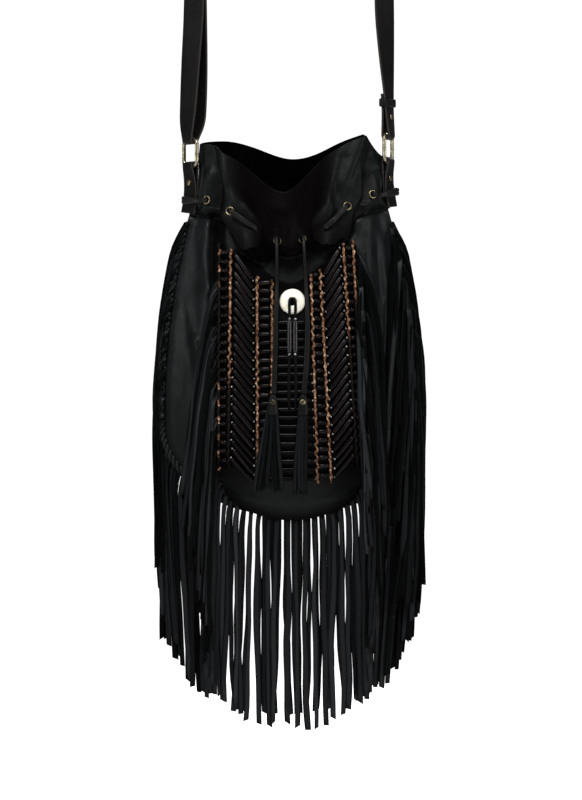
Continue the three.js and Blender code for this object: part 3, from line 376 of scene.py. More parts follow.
# painted shade on the front: darker under the lobes, along the left edge of the panel, and low on the left
lobe_shade = smooth_fall(under_collar, 0.006, 0.034) * smooth_fall(np.abs(front_x), 0.056, 0.074)
panel_gap_shade = smooth_step(front_x, -0.0885, -0.0845) * smooth_fall(front_x, -0.072, -0.066)
panel_gap_shade = panel_gap_shade * smooth_step(front_z, -0.760, -0.700)
low_left_shade = 0.42 * smooth_step(-front_z, 0.68, 0.80) * smooth_fall(front_x, -0.09, -0.06)
front_shade = np.maximum(np.maximum(lobe_shade, panel_gap_shade), low_left_shade)
front = shape("front_wall", front_points, [front_hide_painted_light, inner_suede_shaded], turn_over=True, tone=front_shade)
fit(thicken(front, WALL_THICK, inside=1), "black_leather", "front_body")
back = shape("back_wall", wall_points(BACK_WALL, 121, 70, 26), [black_hide, inner_suede_shaded])
fit(thicken(back, WALL_THICK, inside=1), "black_leather", "back_body")

# Collar: a band of the same hide sewn on above the walls and drawn in by the cord through its eyelets.
# The front middle is pulled back into a deep tuck, and soft lobes beside it roll over the seam.
# Its rim is a bare cut edge, high at the rings and sagging between them.
COLLAR_V = np.array([0, 0.4, 0.75, 1])
COLLAR = {
    "left": (-0.484, -0.515, -0.553, -0.565),
    "right": (-0.4705, -0.508, -0.545, -0.558),
    "half": (0.1005, 0.100, 0.1020, 0.1110),
    "half_right": (0.1015, 0.1045, 0.1065, 0.1110),
    "front": (0.030, 0.038, 0.043, 0.042),
    "back": (0.038, 0.038, 0.035, 0.030),
    "dip": (0.063, 0.057, 0.052, 0.050),
    "dip_x": (-0.007, -0.004, 0, 0),
    "dip_half": (0.058, 0.051, 0.046, 0.046),
    "dip_power": (2.0, 1.6, 1.2, 1.2),
    "dip_right": (0.044, 0.044, 0.045, 0.046),
    "back_dip": (0.026, 0.014, 0.004, 0),
    "tuck": (0.018, 0.020, 0.014, 0),
    "tuck_x": (-0.0075, -0.0100, -0.0030, 0),
    "tuck_half": (0.0470, 0.042, 0.0310, 0.024),
    "left_drop": (0.004, 0.002, 0, 0),
    "right_drop": (0.030, 0.012, 0, 0),
}
BACK_DIP_X, BACK_DIP_LEFT, BACK_DIP_RIGHT = 0.007, 0.050, 0.064
LOBE = {
    "beyond": 0.015, "width": 0.012, "lift": 0.0045,
    "lap": 0.0100, "lap_width": 0.0085, "lap_lift": 0.0046,
}
# centre, half width and drop of the roll with which each lobe hangs over the seam
ROLLS = [(-0.044, 0.024, 0.029), (0.051, 0.025, 0.025)]
# a pleat on each flank: x at four heights, and which way its raised side lies
PLEAT_V = (0.35, 0.6, 0.8, 1)
PLEATS = [((-0.0780, -0.0800, -0.0815, -0.0820), -1), ((0.0950, 0.0860, 0.0770, 0.0700), 1)]
COLLAR_FOLDS = [
    (-0.072, -0.480, -0.063, -0.528, 0.0075, 0.0035),
    (-0.088, -0.488, -0.078, -0.530, 0.0055, -0.0030),
    (0.078, -0.478, 0.060, -0.530, 0.0080, 0.0035),
    (0.058, -0.505, 0.048, -0.545, 0.0060, -0.0030),
    (0.090, -0.500, 0.084, -0.535, 0.0055, -0.0025),
]
# rise, place and half width of a pleat's raised side, and sink and half width of its line
PLEAT = {"rise": 0.0035, "beside": 0.010, "wide": 0.006, "sink": 0.0060, "half": 0.0045}
# strength of the painted shade along the left and right pleats
PLEAT_SHADE = (0.75, 0.40)
CORD_LINE, LAP_LINE, ROLL_LINE = 0.66, 0.72, 0.88


def collar_row(name, v):
    """Size of that name at v down the collar, straight between the heights of the table."""
    return np.interp(v, COLLAR_V, COLLAR[name])


def collar_point(angle, v):
    """Point of the collar at an angle round it and v down it: an oval section whose sizes come from the
    table, a sag of 1/(1 + ((x - x0)/h)^2) in front, a bell behind, and a blend into the walls at the seam."""
    row = {name: collar_row(name, v) for name in COLLAR}
    s, c = np.sin(angle), np.cos(angle)
    x = np.where(s > 0, row["half_right"], row["half"]) * s
    ahead, behind = np.maximum(0, c) ** 1.2, np.maximum(0, -c) ** 1.2
    dip_half = np.where(x < row["dip_x"], row["dip_half"], row["dip_right"])
    dip_ahead = np.where(x < row["dip_x"], np.maximum(0, c) ** row["dip_power"], ahead)
    sag = row["dip"] * dip_ahead / (1 + ((x - row["dip_x"]) / dip_half) ** 2)
    back_half = np.where(x < BACK_DIP_X, BACK_DIP_LEFT, BACK_DIP_RIGHT)
    sag = sag + row["back_dip"] * behind * bell(x - BACK_DIP_X, back_half)
    sag = sag + row["left_drop"] * np.maximum(0, -s) ** 14
    sag = sag + row["right_drop"] * np.clip((s - 0.80) / 0.20, 0, 1) ** 1.15
    z = row["left"] + (row["right"] - row["left"]) * (s + 1) / 2 - sag
    tuck = row["tuck"] * np.exp(-(((x - row["tuck_x"]) / row["tuck_half"]) ** 4))
    free = np.where(c > 0, tuck - row["front"] * c, -row["back"] * c)
    depth = np.where(c > 0, -wall_depth(FRONT_WALL, x, z), wall_depth(BACK_WALL, x, z))
    seamed = depth * np.minimum(1, 6 * np.abs(c))
    y = free + (seamed - free) * smooth_step(v, 0.76, 1)
    return np.stack(np.broadcast_arrays(x, y, z), -1)


def collar_skin(angle, v, lap=1.0):
    """The collar with its folds: a bell beside the tuck raises each lobe, a pleat sinks along a line on
    each flank beside a raised bell, gathers ripple round the cord line, and a roll of the lobes, a bell
    in height and a flat bell across, hangs out and down over the seam. By the cord line each lobe laps
    over the tuck in an S, d times a bell of d."""
    x, y, z = np.moveaxis(collar_point(angle, v), -1, 0)
    ahead = smooth_step(np.cos(angle), 0.15, 0.5)
    in_front = smooth_step(np.cos(angle), 0.05, 0.25)
    off_tuck = x - collar_row("tuck_x", v)
    beside = np.abs(off_tuck) - collar_row("tuck_half", v)
    out = ahead * LOBE["lift"] * bell(beside - LOBE["beyond"], LOBE["width"])
    for line, way in PLEATS:
        off = (x - np.interp(v, PLEAT_V, line)) * way
        raised, sunk = bell(off - PLEAT["beside"], PLEAT["wide"]), bell(off, PLEAT["half"])
        pleat = PLEAT["rise"] * raised - PLEAT["sink"] * sunk
        out = out + in_front * pleat * smooth_step(v, 0.25, 0.55)
    out = out + in_front * ridges(COLLAR_FOLDS, x, z)
    pleats = np.sin(17 * angle + 0.9) + 0.7 * np.sin(29 * angle + 2.4) + 0.4 * np.sin(47 * angle)
    gather = 0.0013 * pleats * bell(v - CORD_LINE, 0.24)
    gather = gather + 0.0014 * np.sin(9 * angle + 6 * v) * np.sin(5 * v + 1)
    out = out * smooth_fall(v, 0.9, 1.0) + gather * smooth_fall(v, 0.72, 0.86)
    roll = bell(v - ROLL_LINE, 0.065) * ahead
    hang = sum(drop * np.exp(-np.abs((x - centre) / half) ** 3) for centre, half, drop in ROLLS)
    d = (beside + 0.003) / LOBE["lap_width"]
    bend = lap * ahead * d * np.exp(0.5 - 0.5 * d * d) * bell(v - LAP_LINE, 0.15) * smooth_fall(v, 0.74, 0.90)
    x = x + out * np.sin(angle) - np.tanh(off_tuck / 0.006) * LOBE["lap"] * bend
    y = y - in_front * smooth_step(v, 0.84, 1.0) * wall_soft(FRONT_WALL, x, z)
    lobed = smooth_fall(np.abs(x), 0.064, 0.084)
    y = y - out * np.cos(angle) - LOBE["lap_lift"] * np.maximum(bend, 0)
    y = y - roll * (0.0035 * lobed + 0.30 * hang)
    z = z - roll * (0.003 * lobed + hang)
    return np.stack([x, y, z], -1)


round_collar = np.linspace(-np.pi, np.pi, 420, endpoint=False)[None, :]
down_collar = np.interp(np.linspace(0, 1, 92), [0, 0.52, 1], [0, 0.74, 1])[:, None]
collar_x = COLLAR["half"][1] * np.sin(round_collar)
# painted shade on the front of the collar: in the tuck, eased along the rim, under the roll of the lobes, and
# along each pleat
TUCK_SHADE = np.array([
    # height, and x of the left and right sides of the tuck's painted shade
    (0, -0.054, 0.039), (0.4, -0.055, 0.036), (0.66, -0.046, 0.032),
    (0.8, -0.040, 0.034), (0.9, -0.032, 0.028), (1, -0.016, 0.014),
])
dark_left, dark_right = (np.interp(down_collar, TUCK_SHADE[:, 0], TUCK_SHADE[:, k]) for k in (1, 2))
in_tuck = smooth_fall(np.maximum(dark_left - collar_x, collar_x - dark_right), -0.006, 0.020)
in_tuck = in_tuck * (1 - 0.7 * smooth_fall(down_collar, 0.006, 0.022))
roll_shade = smooth_step(down_collar, 0.72, 0.90) * smooth_fall(np.abs(collar_x), 0.068, 0.076)
pleat_shade = 0
for (line, way), dark in zip(PLEATS, PLEAT_SHADE):
    off = collar_x - np.interp(down_collar, PLEAT_V, line) + 0.003 * way
    pleat_shade = pleat_shade + dark * bell(off, PLEAT["wide"])
pleat_shade = pleat_shade * smooth_step(down_collar, 0.35, 0.6)
collar_shade = np.maximum(np.maximum(in_tuck, roll_shade), pleat_shade)
collar_shade = np.where(np.cos(round_collar) > 0, collar_shade, 0)
# a darker, less shiny copy of the body hide: painted shade; its shade colour is painted shade too
collar_hide_shaded = cowhide(
    "collar_hide_shaded", (0.0014, 0.0019, 0.0019), (0.0036, 0.0046, 0.0047), 0.48,
    shade_colour=(0.0017, 0.0012, 0.0012), shine=0.10,
)
collar = shape(
    "collar_band", collar_skin(round_collar, down_collar), [collar_hide_shaded, inner_suede_shaded, cut_edge],
    loop_columns=True, turn_over=True, tone=collar_shade,
)
fit(thicken(collar, WALL_THICK, inside=1, rim=2), "black_leather", "collar")

# Collar stitching: one row of black waxed thread, a lockstitch just above the seam all the way round.
# Each stitch is a short fat dash that sinks at both ends.
STITCH = {"count": 150, "radius": 0.00035, "v": 0.955, "reach": 0.3, "out": 0.0004}
STITCH_FORM = [(0, 0.3), (0.2, 0.9), (0.5, 1.1), (0.8, 0.9), (1, 0.3)]
# a bar is closed round its section and capped at both ends
BAR = {"loop_columns": True, "ends": True}


def unit(vectors):
    """Vectors divided by their lengths."""
    return vectors / np.linalg.norm(vectors, axis=-1, keepdims=True)


def full_turn(sides):
    """Angles of that many sides, evenly round one turn."""
    return np.linspace(0, 2 * np.pi, sides, endpoint=False)


def along_line(starts, ends, radii, sides, rings):
    """Bars from starts to ends: a ring of sides at each of the rings of (share of the length, radius)."""
    axis = unit(ends - starts)
    helper = np.where(np.abs(axis[:, 1:2]) < 0.8, [[0.0, 1.0, 0.0]], [[1.0, 0.0, 0.0]])
    side = unit(np.cross(helper, axis))
    other = np.cross(axis, side)
    turn = full_turn(sides)[:, None]
    circle = np.cos(turn) * side[:, None, :] + np.sin(turn) * other[:, None, :]
    share, radius = np.array(rings).T
    centre = starts[:, None, :] + share[None, :, None] * (ends - starts)[:, None, :]
    size = radius[None, :, None] * np.reshape(radii, (-1, 1, 1))
    return centre[:, :, None, :] + size[..., None] * circle[:, None, :, :]


def mottled(name, scale, dark, light, detail=3.0, rough=None, **sockets):
    """A finish that drifts between two colours with noise of that scale. Rough, where it is given, is the
    scale and the range of a drift in its roughness."""
    material, tree, shader, place = finish_of(name, **sockets)
    give(shader, {"Base Color": spread_colour(tree, place, scale, dark, light, detail)})
    if rough:
        give(shader, {"Roughness": spread_value(tree, place, *rough)})
    return material


stitch_at = (np.arange(STITCH["count"]) + 0.5) / STITCH["count"] * 2 * np.pi - np.pi
stitch_reach = STITCH["reach"] * 2 * np.pi / STITCH["count"]
stitch_out = np.stack([np.sin(stitch_at), -np.cos(stitch_at), 0 * stitch_at], -1) * STITCH["out"]
stitch_v = np.full_like(stitch_at, STITCH["v"])
stitch_from = collar_skin(stitch_at - stitch_reach, stitch_v) + stitch_out
stitch_to = collar_skin(stitch_at + stitch_reach, stitch_v) + stitch_out
stitch_grid = along_line(stitch_from, stitch_to, STITCH["radius"], 6, STITCH_FORM)
thread = mottled(
    "waxed_thread", 300, (0.0012, 0.0012, 0.0014), (0.004, 0.004, 0.0045),
    Roughness=0.5, Specular_IOR_Level=0.08,
)
fit(shape("collar_stitches", stitch_grid, [thread], **BAR), "black_leather")

# Lacing: a flat lace of the same hide wound over the raw seam edge from the left top to the right top.
# Each turn lies slanted and half over the turn before it, so the edge reads as a rope of flat strips.
LACE = {
    "top": -0.573, "turns": 98, "reach": 0.0046, "half": 0.0047, "inset": -0.0004,
    "slant": 1.35, "cover": 1.05, "round": 128, "thick": 0.0010,
}
LACE_SIDE = LACE["top"] - BODY_BOWL
LACE_BOWL = np.pi * np.hypot(BODY_HALF, BODY_DROP) / np.sqrt(2)
LACE_LENGTH = 2 * LACE_SIDE + LACE_BOWL


def seam_line(t):
    """Point of the seam edge at share t of its length: down the left, round the bowl, up the right."""
    length = t * LACE_LENGTH
    down = np.where(length <= LACE_SIDE, length, LACE_LENGTH - length)
    angle = np.clip((length - LACE_SIDE) / LACE_BOWL, 0, 1) * np.pi
    on_bowl = (length > LACE_SIDE) & (length < LACE_SIDE + LACE_BOWL)
    side_z = LACE["top"] - down
    side_x = np.sign(length - LACE_LENGTH / 2) * body_half(side_z)
    x = np.where(on_bowl, -BODY_HALF * np.cos(angle), side_x)
    z = np.where(on_bowl, BODY_BOWL - BODY_DROP * np.sin(angle), side_z)
    return x, z


def line_out(line, t):
    """Direction out across a line at share t of it: the line's direction turned a quarter."""
    (x0, z0), (x1, z1) = line(np.clip(t - 0.004, 0, 1)), line(np.clip(t + 0.004, 0, 1))
    size = np.hypot(x1 - x0, z1 - z0)
    return (z1 - z0) / size, -(x1 - x0) / size


lace_turn = np.arange(LACE["turns"])[:, None, None]
lace_round = np.linspace(-1, 1, 15)[None, :, None]
lace_wide = np.linspace(-0.5, 0.5, 6)[None, None, :]
lace_t = (lace_turn + 0.5 + LACE["slant"] * lace_round + LACE["cover"] * lace_wide) / LACE["turns"]
lace_t = np.clip(lace_t, 0, 1)
lace_swell = 1 + 0.20 * (1 - (2 * lace_wide) ** 2) + 0.20 * lace_wide
lace_angle = lace_round * np.radians(LACE["round"])
(lace_x, lace_z), (lace_ox, lace_oz) = seam_line(lace_t), line_out(seam_line, lace_t)
lace_start = 0.4 + 0.6 * smooth_step(np.minimum(lace_t, 1 - lace_t), 0, 0.04)
lace_far = LACE["inset"] + LACE["reach"] * lace_start * lace_swell * np.cos(lace_angle)
lace_y = LACE["half"] * lace_swell * np.sin(lace_angle) + 0 * lace_t
lace_points = np.stack([lace_x + lace_ox * lace_far, lace_y, lace_z + lace_oz * lace_far], -1)
lace_hide = cowhide("lace_hide", (0.0022, 0.0026, 0.0028), (0.0052, 0.0060, 0.0064), 0.42, 0.2, 0.2)
lacing = shape("seam_lacing", lace_points, [lace_hide], turn_over=True)
fit(thicken(lacing, LACE["thick"]), "black_leather", "edge_lacing")

# Seam fringe: a band of thin hide caught in the lacing and cut into long strips, two deep at the sides.
# The strips leave the seam square to it, bend down and hang, some turned edge on, their ends uneven.
SEAM_FRINGE = {"length": 0.217, "start": 0.0044, "stack": 0.004, "thick": 0.0013, "half": 0.1490}
# how a low strip swells from its root, and how a strip narrows at its free end
LOW_STRIP, STRIP_END = (0.86, 0.18), 0.94
STRIP_SECTION = np.array([
    # across the width, through the thickness, and share of the strip's tone, less towards the cut edges:
    # painted shade between strips
    (-0.50, 0.0, 0.10), (-0.46, 0.5, 0.25), (-0.22, 0.5, 1), (0.22, 0.5, 1), (0.46, 0.5, 0.25),
    (0.50, 0.0, 0.10), (0.46, -0.5, 0.25), (0.22, -0.5, 1), (-0.22, -0.5, 1), (-0.46, -0.5, 0.25),
])
chance = np.random.default_rng(71)
strip_share = np.linspace(0, 1, 19)[None, :]


def squared(hint, along):
    """Direction of a hint made square to the direction of a line."""
    return unit(hint - (hint * along).sum(-1, keepdims=True) * along)


def strips(centre, width, thick, twist):
    """Flat strips along centre lines: a section of ten corners, its width turned by twist about the
    vertical from the X axis, its thickness square to the width and to the line. The free end is
    narrowed and cut on a slant."""
    along = unit(np.gradient(centre, axis=1))
    across = squared(np.stack([np.cos(twist), np.sin(twist), 0 * twist], -1), along)
    face = np.cross(across, along)
    narrowed = np.r_[np.ones(centre.shape[1] - 1), STRIP_END]
    wide = STRIP_SECTION[:, :1] * (width * narrowed)[..., None, None]
    deep = STRIP_SECTION[:, 1:2] * thick
    grid = centre[:, :, None, :] + wide * across[:, :, None, :] + deep * face[:, :, None, :]
    slant = chance.uniform(-0.8, 0.8, len(centre))[:, None, None]
    grid[:, -1] += slant * wide[:, -1] * along[:, -1, None, :]
    return grid


def wavering(count, v):
    """Sideways drift of hanging strips: a slow wave and a quick small one, both growing from the root."""
    draw = chance.uniform(0, 1, (4, count, 1))
    slow = 0.0027 * v * np.sin(2 * np.pi * ((0.4 + 0.5 * draw[0]) * v + draw[1]))
    quick = 0.0006 * np.sin(2 * np.pi * ((1.4 + 1.6 * draw[2]) * v + draw[3]))
    return slow + smooth_step(v, 0.03, 0.3) * quick


def bunched(x):
    """Drift that draws neighbouring strips together in bunches: two waves across the bag."""
    return 0.0022 * np.sin(x / 0.0055 + 0.6) + 0.0014 * np.sin(x / 0.0029 + 2.0)


def strip_widths(count, least, most):
    """Widths along strips cut by hand: each strip has its own, which swells and narrows slowly."""
    own, phase = chance.uniform(least, most, (count, 1)), chance.uniform(0, 6, (count, 1))
    return own * (1 + 0.14 * np.sin(9 * strip_share + phase))


def uneven(count, step, spread):
    """Lengths that change by small steps in short groups, as strips cut by hand do."""
    groups = np.repeat(chance.normal(0, step, count // 3 + 2), 3)[:count]
    return groups + chance.uniform(-spread, spread, count)


def seam_strips(t, drop, in_front):
    """Centre lines of seam strips: out of the seam along its normal, then down. At the sides they are
    pushed outside the walls as the body widens, or hang straight in front of the seam where in_front
    gives a distance; a slow sway and a lean grow towards the free end."""
    count, v = len(t), strip_share**1.35
    t, drop, in_front = t[:, None], drop[:, None], in_front[:, None]
    (x, z), (ox, oz) = seam_line(t), line_out(seam_line, t)
    out = 1 - np.exp(-v / 0.045)
    below_top = np.clip(0.25 + (LACE["top"] - z + drop * v) / 0.045, 0, 1)
    start = SEAM_FRINGE["start"] * (1.9 * out - 0.3) * below_top
    height = z + oz * start - drop * v
    outward, at_side = np.where(x < 0, -1.0, 1.0), np.abs(x) > 0.1
    on_side = np.clip((z - BODY_BOWL) / 0.020 + 1, 0, 1)
    stack = SEAM_FRINGE["stack"] * chance.uniform(-1.0, 0.6, (count, 1))
    side_z = np.maximum(height, BODY_BOWL)
    side_half = body_half(side_z)
    pushed = outward * (side_half + start * (1 - 0.45 * v) + stack * v)
    hung = x + ox * start + outward * stack * v * np.abs(x / BODY_HALF) ** 2
    low_side = smooth_step(-z, 0.730, 0.790) * smooth_fall(-z, 0.850, 0.880)
    inward = chance.uniform(-0.001, 0.004, (count, 1)) + low_side * np.where(outward > 0, 0.010, 0.006)
    lean = np.where(at_side, -inward * outward, chance.normal(0, 0.0028, (count, 1)))
    sway = (wavering(count, v) + bunched(x) * v) * np.where(at_side, 0.6, 1) + lean * v**1.4
    straight = x + outward * (0.3 * start - 0.001 + chance.uniform(-0.020, 0.012, (count, 1)) * v)
    cross = np.where(in_front > 0, straight, hung + (pushed - hung) * on_side) + sway
    cross = np.clip(cross, -SEAM_FRINGE["half"], SEAM_FRINGE["half"])
    ahead = wall_depth(FRONT_WALL, np.clip(cross, -side_half, side_half), side_z)
    cover = -(np.maximum.accumulate(ahead, 1) + 0.004 + in_front) * smooth_step(v, -0.02, 0.07)
    level = chance.uniform(-0.0034, 0.0034, (count, 1)) * (0.3 + 0.7 * out)
    root = -0.0050 * np.exp(-v / 0.05) * on_side
    return np.stack([cross, np.where(in_front > 0, cover, level + root), height], -1)


side_share = LACE_SIDE / LACE_LENGTH
left_t = np.linspace(0.002, side_share + 0.05, 52)
right_t = np.linspace(1 - side_share - 0.05, 0.998, 52)
front_t = np.linspace(1 - side_share - 0.030, 0.998, 44)
bowl_t = np.linspace(side_share + 0.055, 1 - side_share - 0.055, 44)
fringe_t = np.concatenate([left_t, left_t + 0.003, right_t, right_t[::2] - 0.003, bowl_t, front_t])
fringe_count = len(fringe_t)
fringe_t = np.clip(fringe_t + chance.normal(0, 0.0008, fringe_count), 0.002, 0.998)
is_front = np.arange(fringe_count) >= fringe_count - len(front_t)
is_low = (np.abs(fringe_t - 0.5) < 0.115) & ~is_front
fringe_front = np.where(is_front, chance.uniform(0.001, 0.007, fringe_count), 0)
fringe_drop = SEAM_FRINGE["length"] + uneven(fringe_count, 0.0038, 0.003)
fringe_drop = fringe_drop - 0.016 * bell(seam_line(fringe_t)[1] + 0.805, 0.026)
fringe_line = seam_strips(fringe_t, fringe_drop, fringe_front)
up_side = np.clip(np.abs(fringe_t - 0.5) / 0.5 - 0.45, 0, 1)[:, None] / 0.55
fringe_twist = chance.normal(0, 0.22 + 0.55 * up_side)
fringe_twist = fringe_twist + chance.normal(0, 0.32, (fringe_count, 1)) * strip_share
fringe_width = strip_widths(fringe_count, 0.0052, 0.0076)
fringe_width = fringe_width * np.where(is_low[:, None], LOW_STRIP[0] + LOW_STRIP[1] * strip_share, 1)


def strip_hide(name, dark, light, rough):
    """Thin hide of cut strips: each strip keeps a tone of its own between dark and light, fine grain."""
    material, tree, shader, place = finish_of(name)
    tone = tone_of(tree)
    give(shader, {
        "Base Color": ramp(tree, tone, (0, dark), (1, light)),
        "Specular IOR Level": levels(tree, tone, 0.025, 0.16),
        "Roughness": spread_value(tree, place, 70, rough - 0.08, rough + 0.08),
        "Normal": bump(tree, noise(tree, place, 420, 4), 0.3, 0.0006),
    })
    return material


fringe_hide = strip_hide("fringe_hide", (0.0006, 0.0008, 0.0008), (0.0095, 0.0104, 0.0122), 0.48)


def hang_strips(name, grid, tone, node):
    """Cut strips as one piece that stands for a node, each with its own tone, less towards the cut edges as
    painted shade.
    """
    strip_tone = tone[:, None, None] * STRIP_SECTION[:, 2]
    return fit(shape(name, grid, [fringe_hide], **BAR, tone=strip_tone), "black_leather", node)


fringe_grid = strips(fringe_line, fringe_width, SEAM_FRINGE["thick"], fringe_twist)
low_tone, side_tone = chance.uniform(0.35, 1, fringe_count), chance.uniform(0, 1, fringe_count) ** 2.5
hang_strips("seam_fringe_strips", fringe_grid, np.where(is_low, low_tone, side_tone), "side_fringe")

# Bead panel: a U of firmer hide laid over the front wall, its top following the sag of the collar seam.
# The leather shows plain above the beads and as a smooth rounded band below them.
PANEL = {
    "top_drop": 0.030, "bowl": -0.846, "drop": 0.057,
    "top_left": -0.079, "top_right": 0.0735, "end_left": -0.080, "end_right": 0.0845,
}
PANEL_LIFT, PANEL_THICK, PANEL_LEAST = 0.0015, 0.002, 0.0052
PANEL_TOP = SEAM_LEFT - PANEL["top_drop"]
PANEL_MIDDLE = (PANEL["end_left"] + PANEL["end_right"]) / 2
PANEL_HALF = (PANEL["end_right"] - PANEL["end_left"]) / 2
# depths between which the plain band below the beads begins, and rows at the top that take the collar's
# painted shade
PANEL_BAND, SHADED_ROWS = (0.850, 0.875), 26


def panel_up(z):
    """Share of the way from the bowl up to the panel's top corners."""
    return np.clip((z - PANEL["bowl"]) / (PANEL_TOP - PANEL["bowl"]), 0, 1)


def panel_side(z, right):
    """Side edge of the panel: straight from its top corner to where the bowl begins."""
    low, high = ("end_right", "top_right") if right else ("end_left", "top_left")
    return PANEL[low] + (PANEL[high] - PANEL[low]) * panel_up(z)


def panel_reach(x, z):
    """Share of the way from the panel's middle line to its edge: hypot of the shares across and down."""
    return np.hypot((x - PANEL_MIDDLE) / PANEL_HALF, np.clip(PANEL["bowl"] - z, 0, None) / PANEL["drop"])


def panel_depth(x, z):
    """Outer face of the panel: the front wall's depth, kept from the lacing, plus lift and thickness."""
    return np.maximum(wall_depth(FRONT_WALL, x, z), PANEL_LEAST) + PANEL_LIFT + PANEL_THICK


def panel_points(columns, side_rows, bowl_rows):
    """Grid of the panel: rows from the sagging top to the bowl, then by bowl angle; a roll at the edge."""
    u = np.linspace(0, 1, columns)[None, :]
    top = seam_height(PANEL["top_left"] + (PANEL["top_right"] - PANEL["top_left"]) * u) - PANEL["top_drop"]
    z = top + (PANEL["bowl"] - top) * np.linspace(0, 1, side_rows)[:, None]
    x = panel_side(z, False) + (panel_side(z, True) - panel_side(z, False)) * u
    angle = np.linspace(0, 1.5, bowl_rows + 1)[1:, None]
    x = np.vstack([x, PANEL_MIDDLE + (2 * u - 1) * PANEL_HALF * np.cos(angle)])
    z = np.vstack([z, PANEL["bowl"] - PANEL["drop"] * np.sin(angle) + 0 * u])
    reach, low = panel_reach(x, z), smooth_step(-z, *PANEL_BAND)
    roll = 0.0016 * low * smooth_step(reach, 0.20, 0.75) - 0.0028 * smooth_step(reach, 0.60, 1.05) * low
    swell = wall_depth(FRONT_WALL, x, z) - PANEL_LEAST
    soft = 0.5 * (np.hypot(swell, 0.008) - np.abs(swell)) * low
    return np.stack([x, -(panel_depth(x, z) + roll + soft), z], -1)


# its shade colour is painted shade
panel_hide = cowhide(
    "panel_hide", (0.0026, 0.0032, 0.0036), (0.0044, 0.0052, 0.0058), 0.44, 0.22, 0.22,
    shade_colour=(0.0013, 0.0013, 0.0014),
)
panel_grid = panel_points(71, 90, 34)
panel_x, _, panel_z = np.moveaxis(panel_grid, -1, 0)
# painted shade on the panel: darker behind the beads, most of all under the collar, and along its rolled
# lower edge
panel_shade = smooth_step(panel_z, -0.895, -0.835) * (0.55 + 0.25 * smooth_step(np.abs(panel_x), 0.02, 0.05))
panel_shade[:SHADED_ROWS] = np.maximum(panel_shade[:SHADED_ROWS], np.linspace(1, 0.3, SHADED_ROWS)[:, None])
rolled_edge_shade = smooth_step(panel_reach(panel_x, panel_z), 0.72, 1.0) * smooth_step(-panel_z, *PANEL_BAND)
panel_shade = np.maximum(panel_shade, 0.85 * rolled_edge_shade)
panel = shape("bead_panel_hide", panel_grid, [panel_hide, inner_suede_shaded], turn_over=True, tone=panel_shade)
# the panel's cut rim takes the inner suede: painted shade
fit(thicken(panel, PANEL_THICK, inside=1, rim=1), "black_leather", "bead_panel")

# Panel fringe: a second cut band sewn under the panel's edge, so its strips come out like fingers.
# They drape over the swell of the front wall; those of the sides fan out, widest on the right.
PANEL_FRINGE = {
    "length": 0.228, "lift": 0.0016, "thick": 0.0013, "side": 0.3,
    "fan_left": 0.040, "fan_right": 0.038, "least_fan": 0.002,
    "under": 0.0040, "out": 0.0085, "bend": 0.028,
}
# width of the side strips against the first cut, and how a bottom strip swells from its root
SIDE_STRIP, BOTTOM_STRIP = 0.82, (0.82, 0.22)


def panel_edge(t):
    """Edge of the panel at share t: down the left, round the bowl and up the right."""
    side = PANEL_FRINGE["side"]
    left_top = seam_height(np.float64(PANEL["top_left"])) - PANEL["top_drop"]
    right_top = seam_height(np.float64(PANEL["top_right"])) - PANEL["top_drop"]
    left_z = left_top + (PANEL["bowl"] - left_top) * np.clip(t / side, 0, 1)
    right_z = PANEL["bowl"] + (right_top - PANEL["bowl"]) * np.clip((t - 1 + side) / side, 0, 1)
    angle = np.clip((t - side) / (1 - 2 * side), 0, 1) * np.pi
    bowl_x = PANEL_MIDDLE - PANEL_HALF * np.cos(angle)
    bowl_z = PANEL["bowl"] - PANEL["drop"] * np.sin(angle)
    right_x = np.where(t > 1 - side, panel_side(right_z, True), bowl_x)
    x = np.where(t < side, panel_side(left_z, False), right_x)
    z = np.where(t < side, left_z, np.where(t > 1 - side, right_z, bowl_z))
    return x, z


def panel_strips(t, drop, layer, pull):
    """Centre lines of panel strips: out from under the edge along its normal, then down over the
    deepest part of the wall passed so far. The upper ones spread sideways by their height on the panel,
    and those with a pull fall back over the beads by that distance."""
    count, v = len(t), strip_share**1.3
    t, drop, layer, pull = t[:, None], drop[:, None], layer[:, None], pull[:, None]
    (x, z), (ox, oz) = panel_edge(t), line_out(panel_edge, t)
    out = PANEL_FRINGE["out"] * (1 - np.exp(-v / PANEL_FRINGE["bend"])) - PANEL_FRINGE["under"]
    outward, height = np.sign(x - PANEL_MIDDLE), panel_up(z)
    fan = np.where(outward < 0, PANEL_FRINGE["fan_left"], PANEL_FRINGE["fan_right"])
    spread = PANEL_FRINGE["least_fan"] + fan * height
    spread = spread * np.clip(np.abs(x - PANEL_MIDDLE) / PANEL_HALF, 0, 1) ** 2
    spread = spread * chance.uniform(0.05, 1.0, (count, 1)) ** np.where(outward < 0, 0.7, 1)
    sway = wavering(count, v) + bunched(x) * v + chance.normal(0, 0.0018, (count, 1)) * v**1.5
    quick = np.where(outward > 0, 1 - np.exp(-v / 0.22), 1.23 * (1 - np.exp(-v / 0.6)))
    fallen = pull * smooth_step(v, 0.02, 0.35) * (1 - 2.4 * smooth_step(v, 0.5, 1.0))
    cross = x + ox * out + outward * (np.where(pull > 0, 0, spread) * quick - fallen) + sway
    level = z + oz * out - drop * v
    clear = np.maximum(cross, panel_side(level, True) - pull)
    cross = np.where((outward > 0) & (height > 0.02), clear, cross)
    depth = np.maximum(wall_depth(FRONT_WALL, cross, level), PANEL_LEAST)
    depth = np.maximum.accumulate(depth, 1) + PANEL_FRINGE["lift"] + layer * smooth_step(v, 0, 0.06)
    return np.stack([cross, -depth, level], -1)


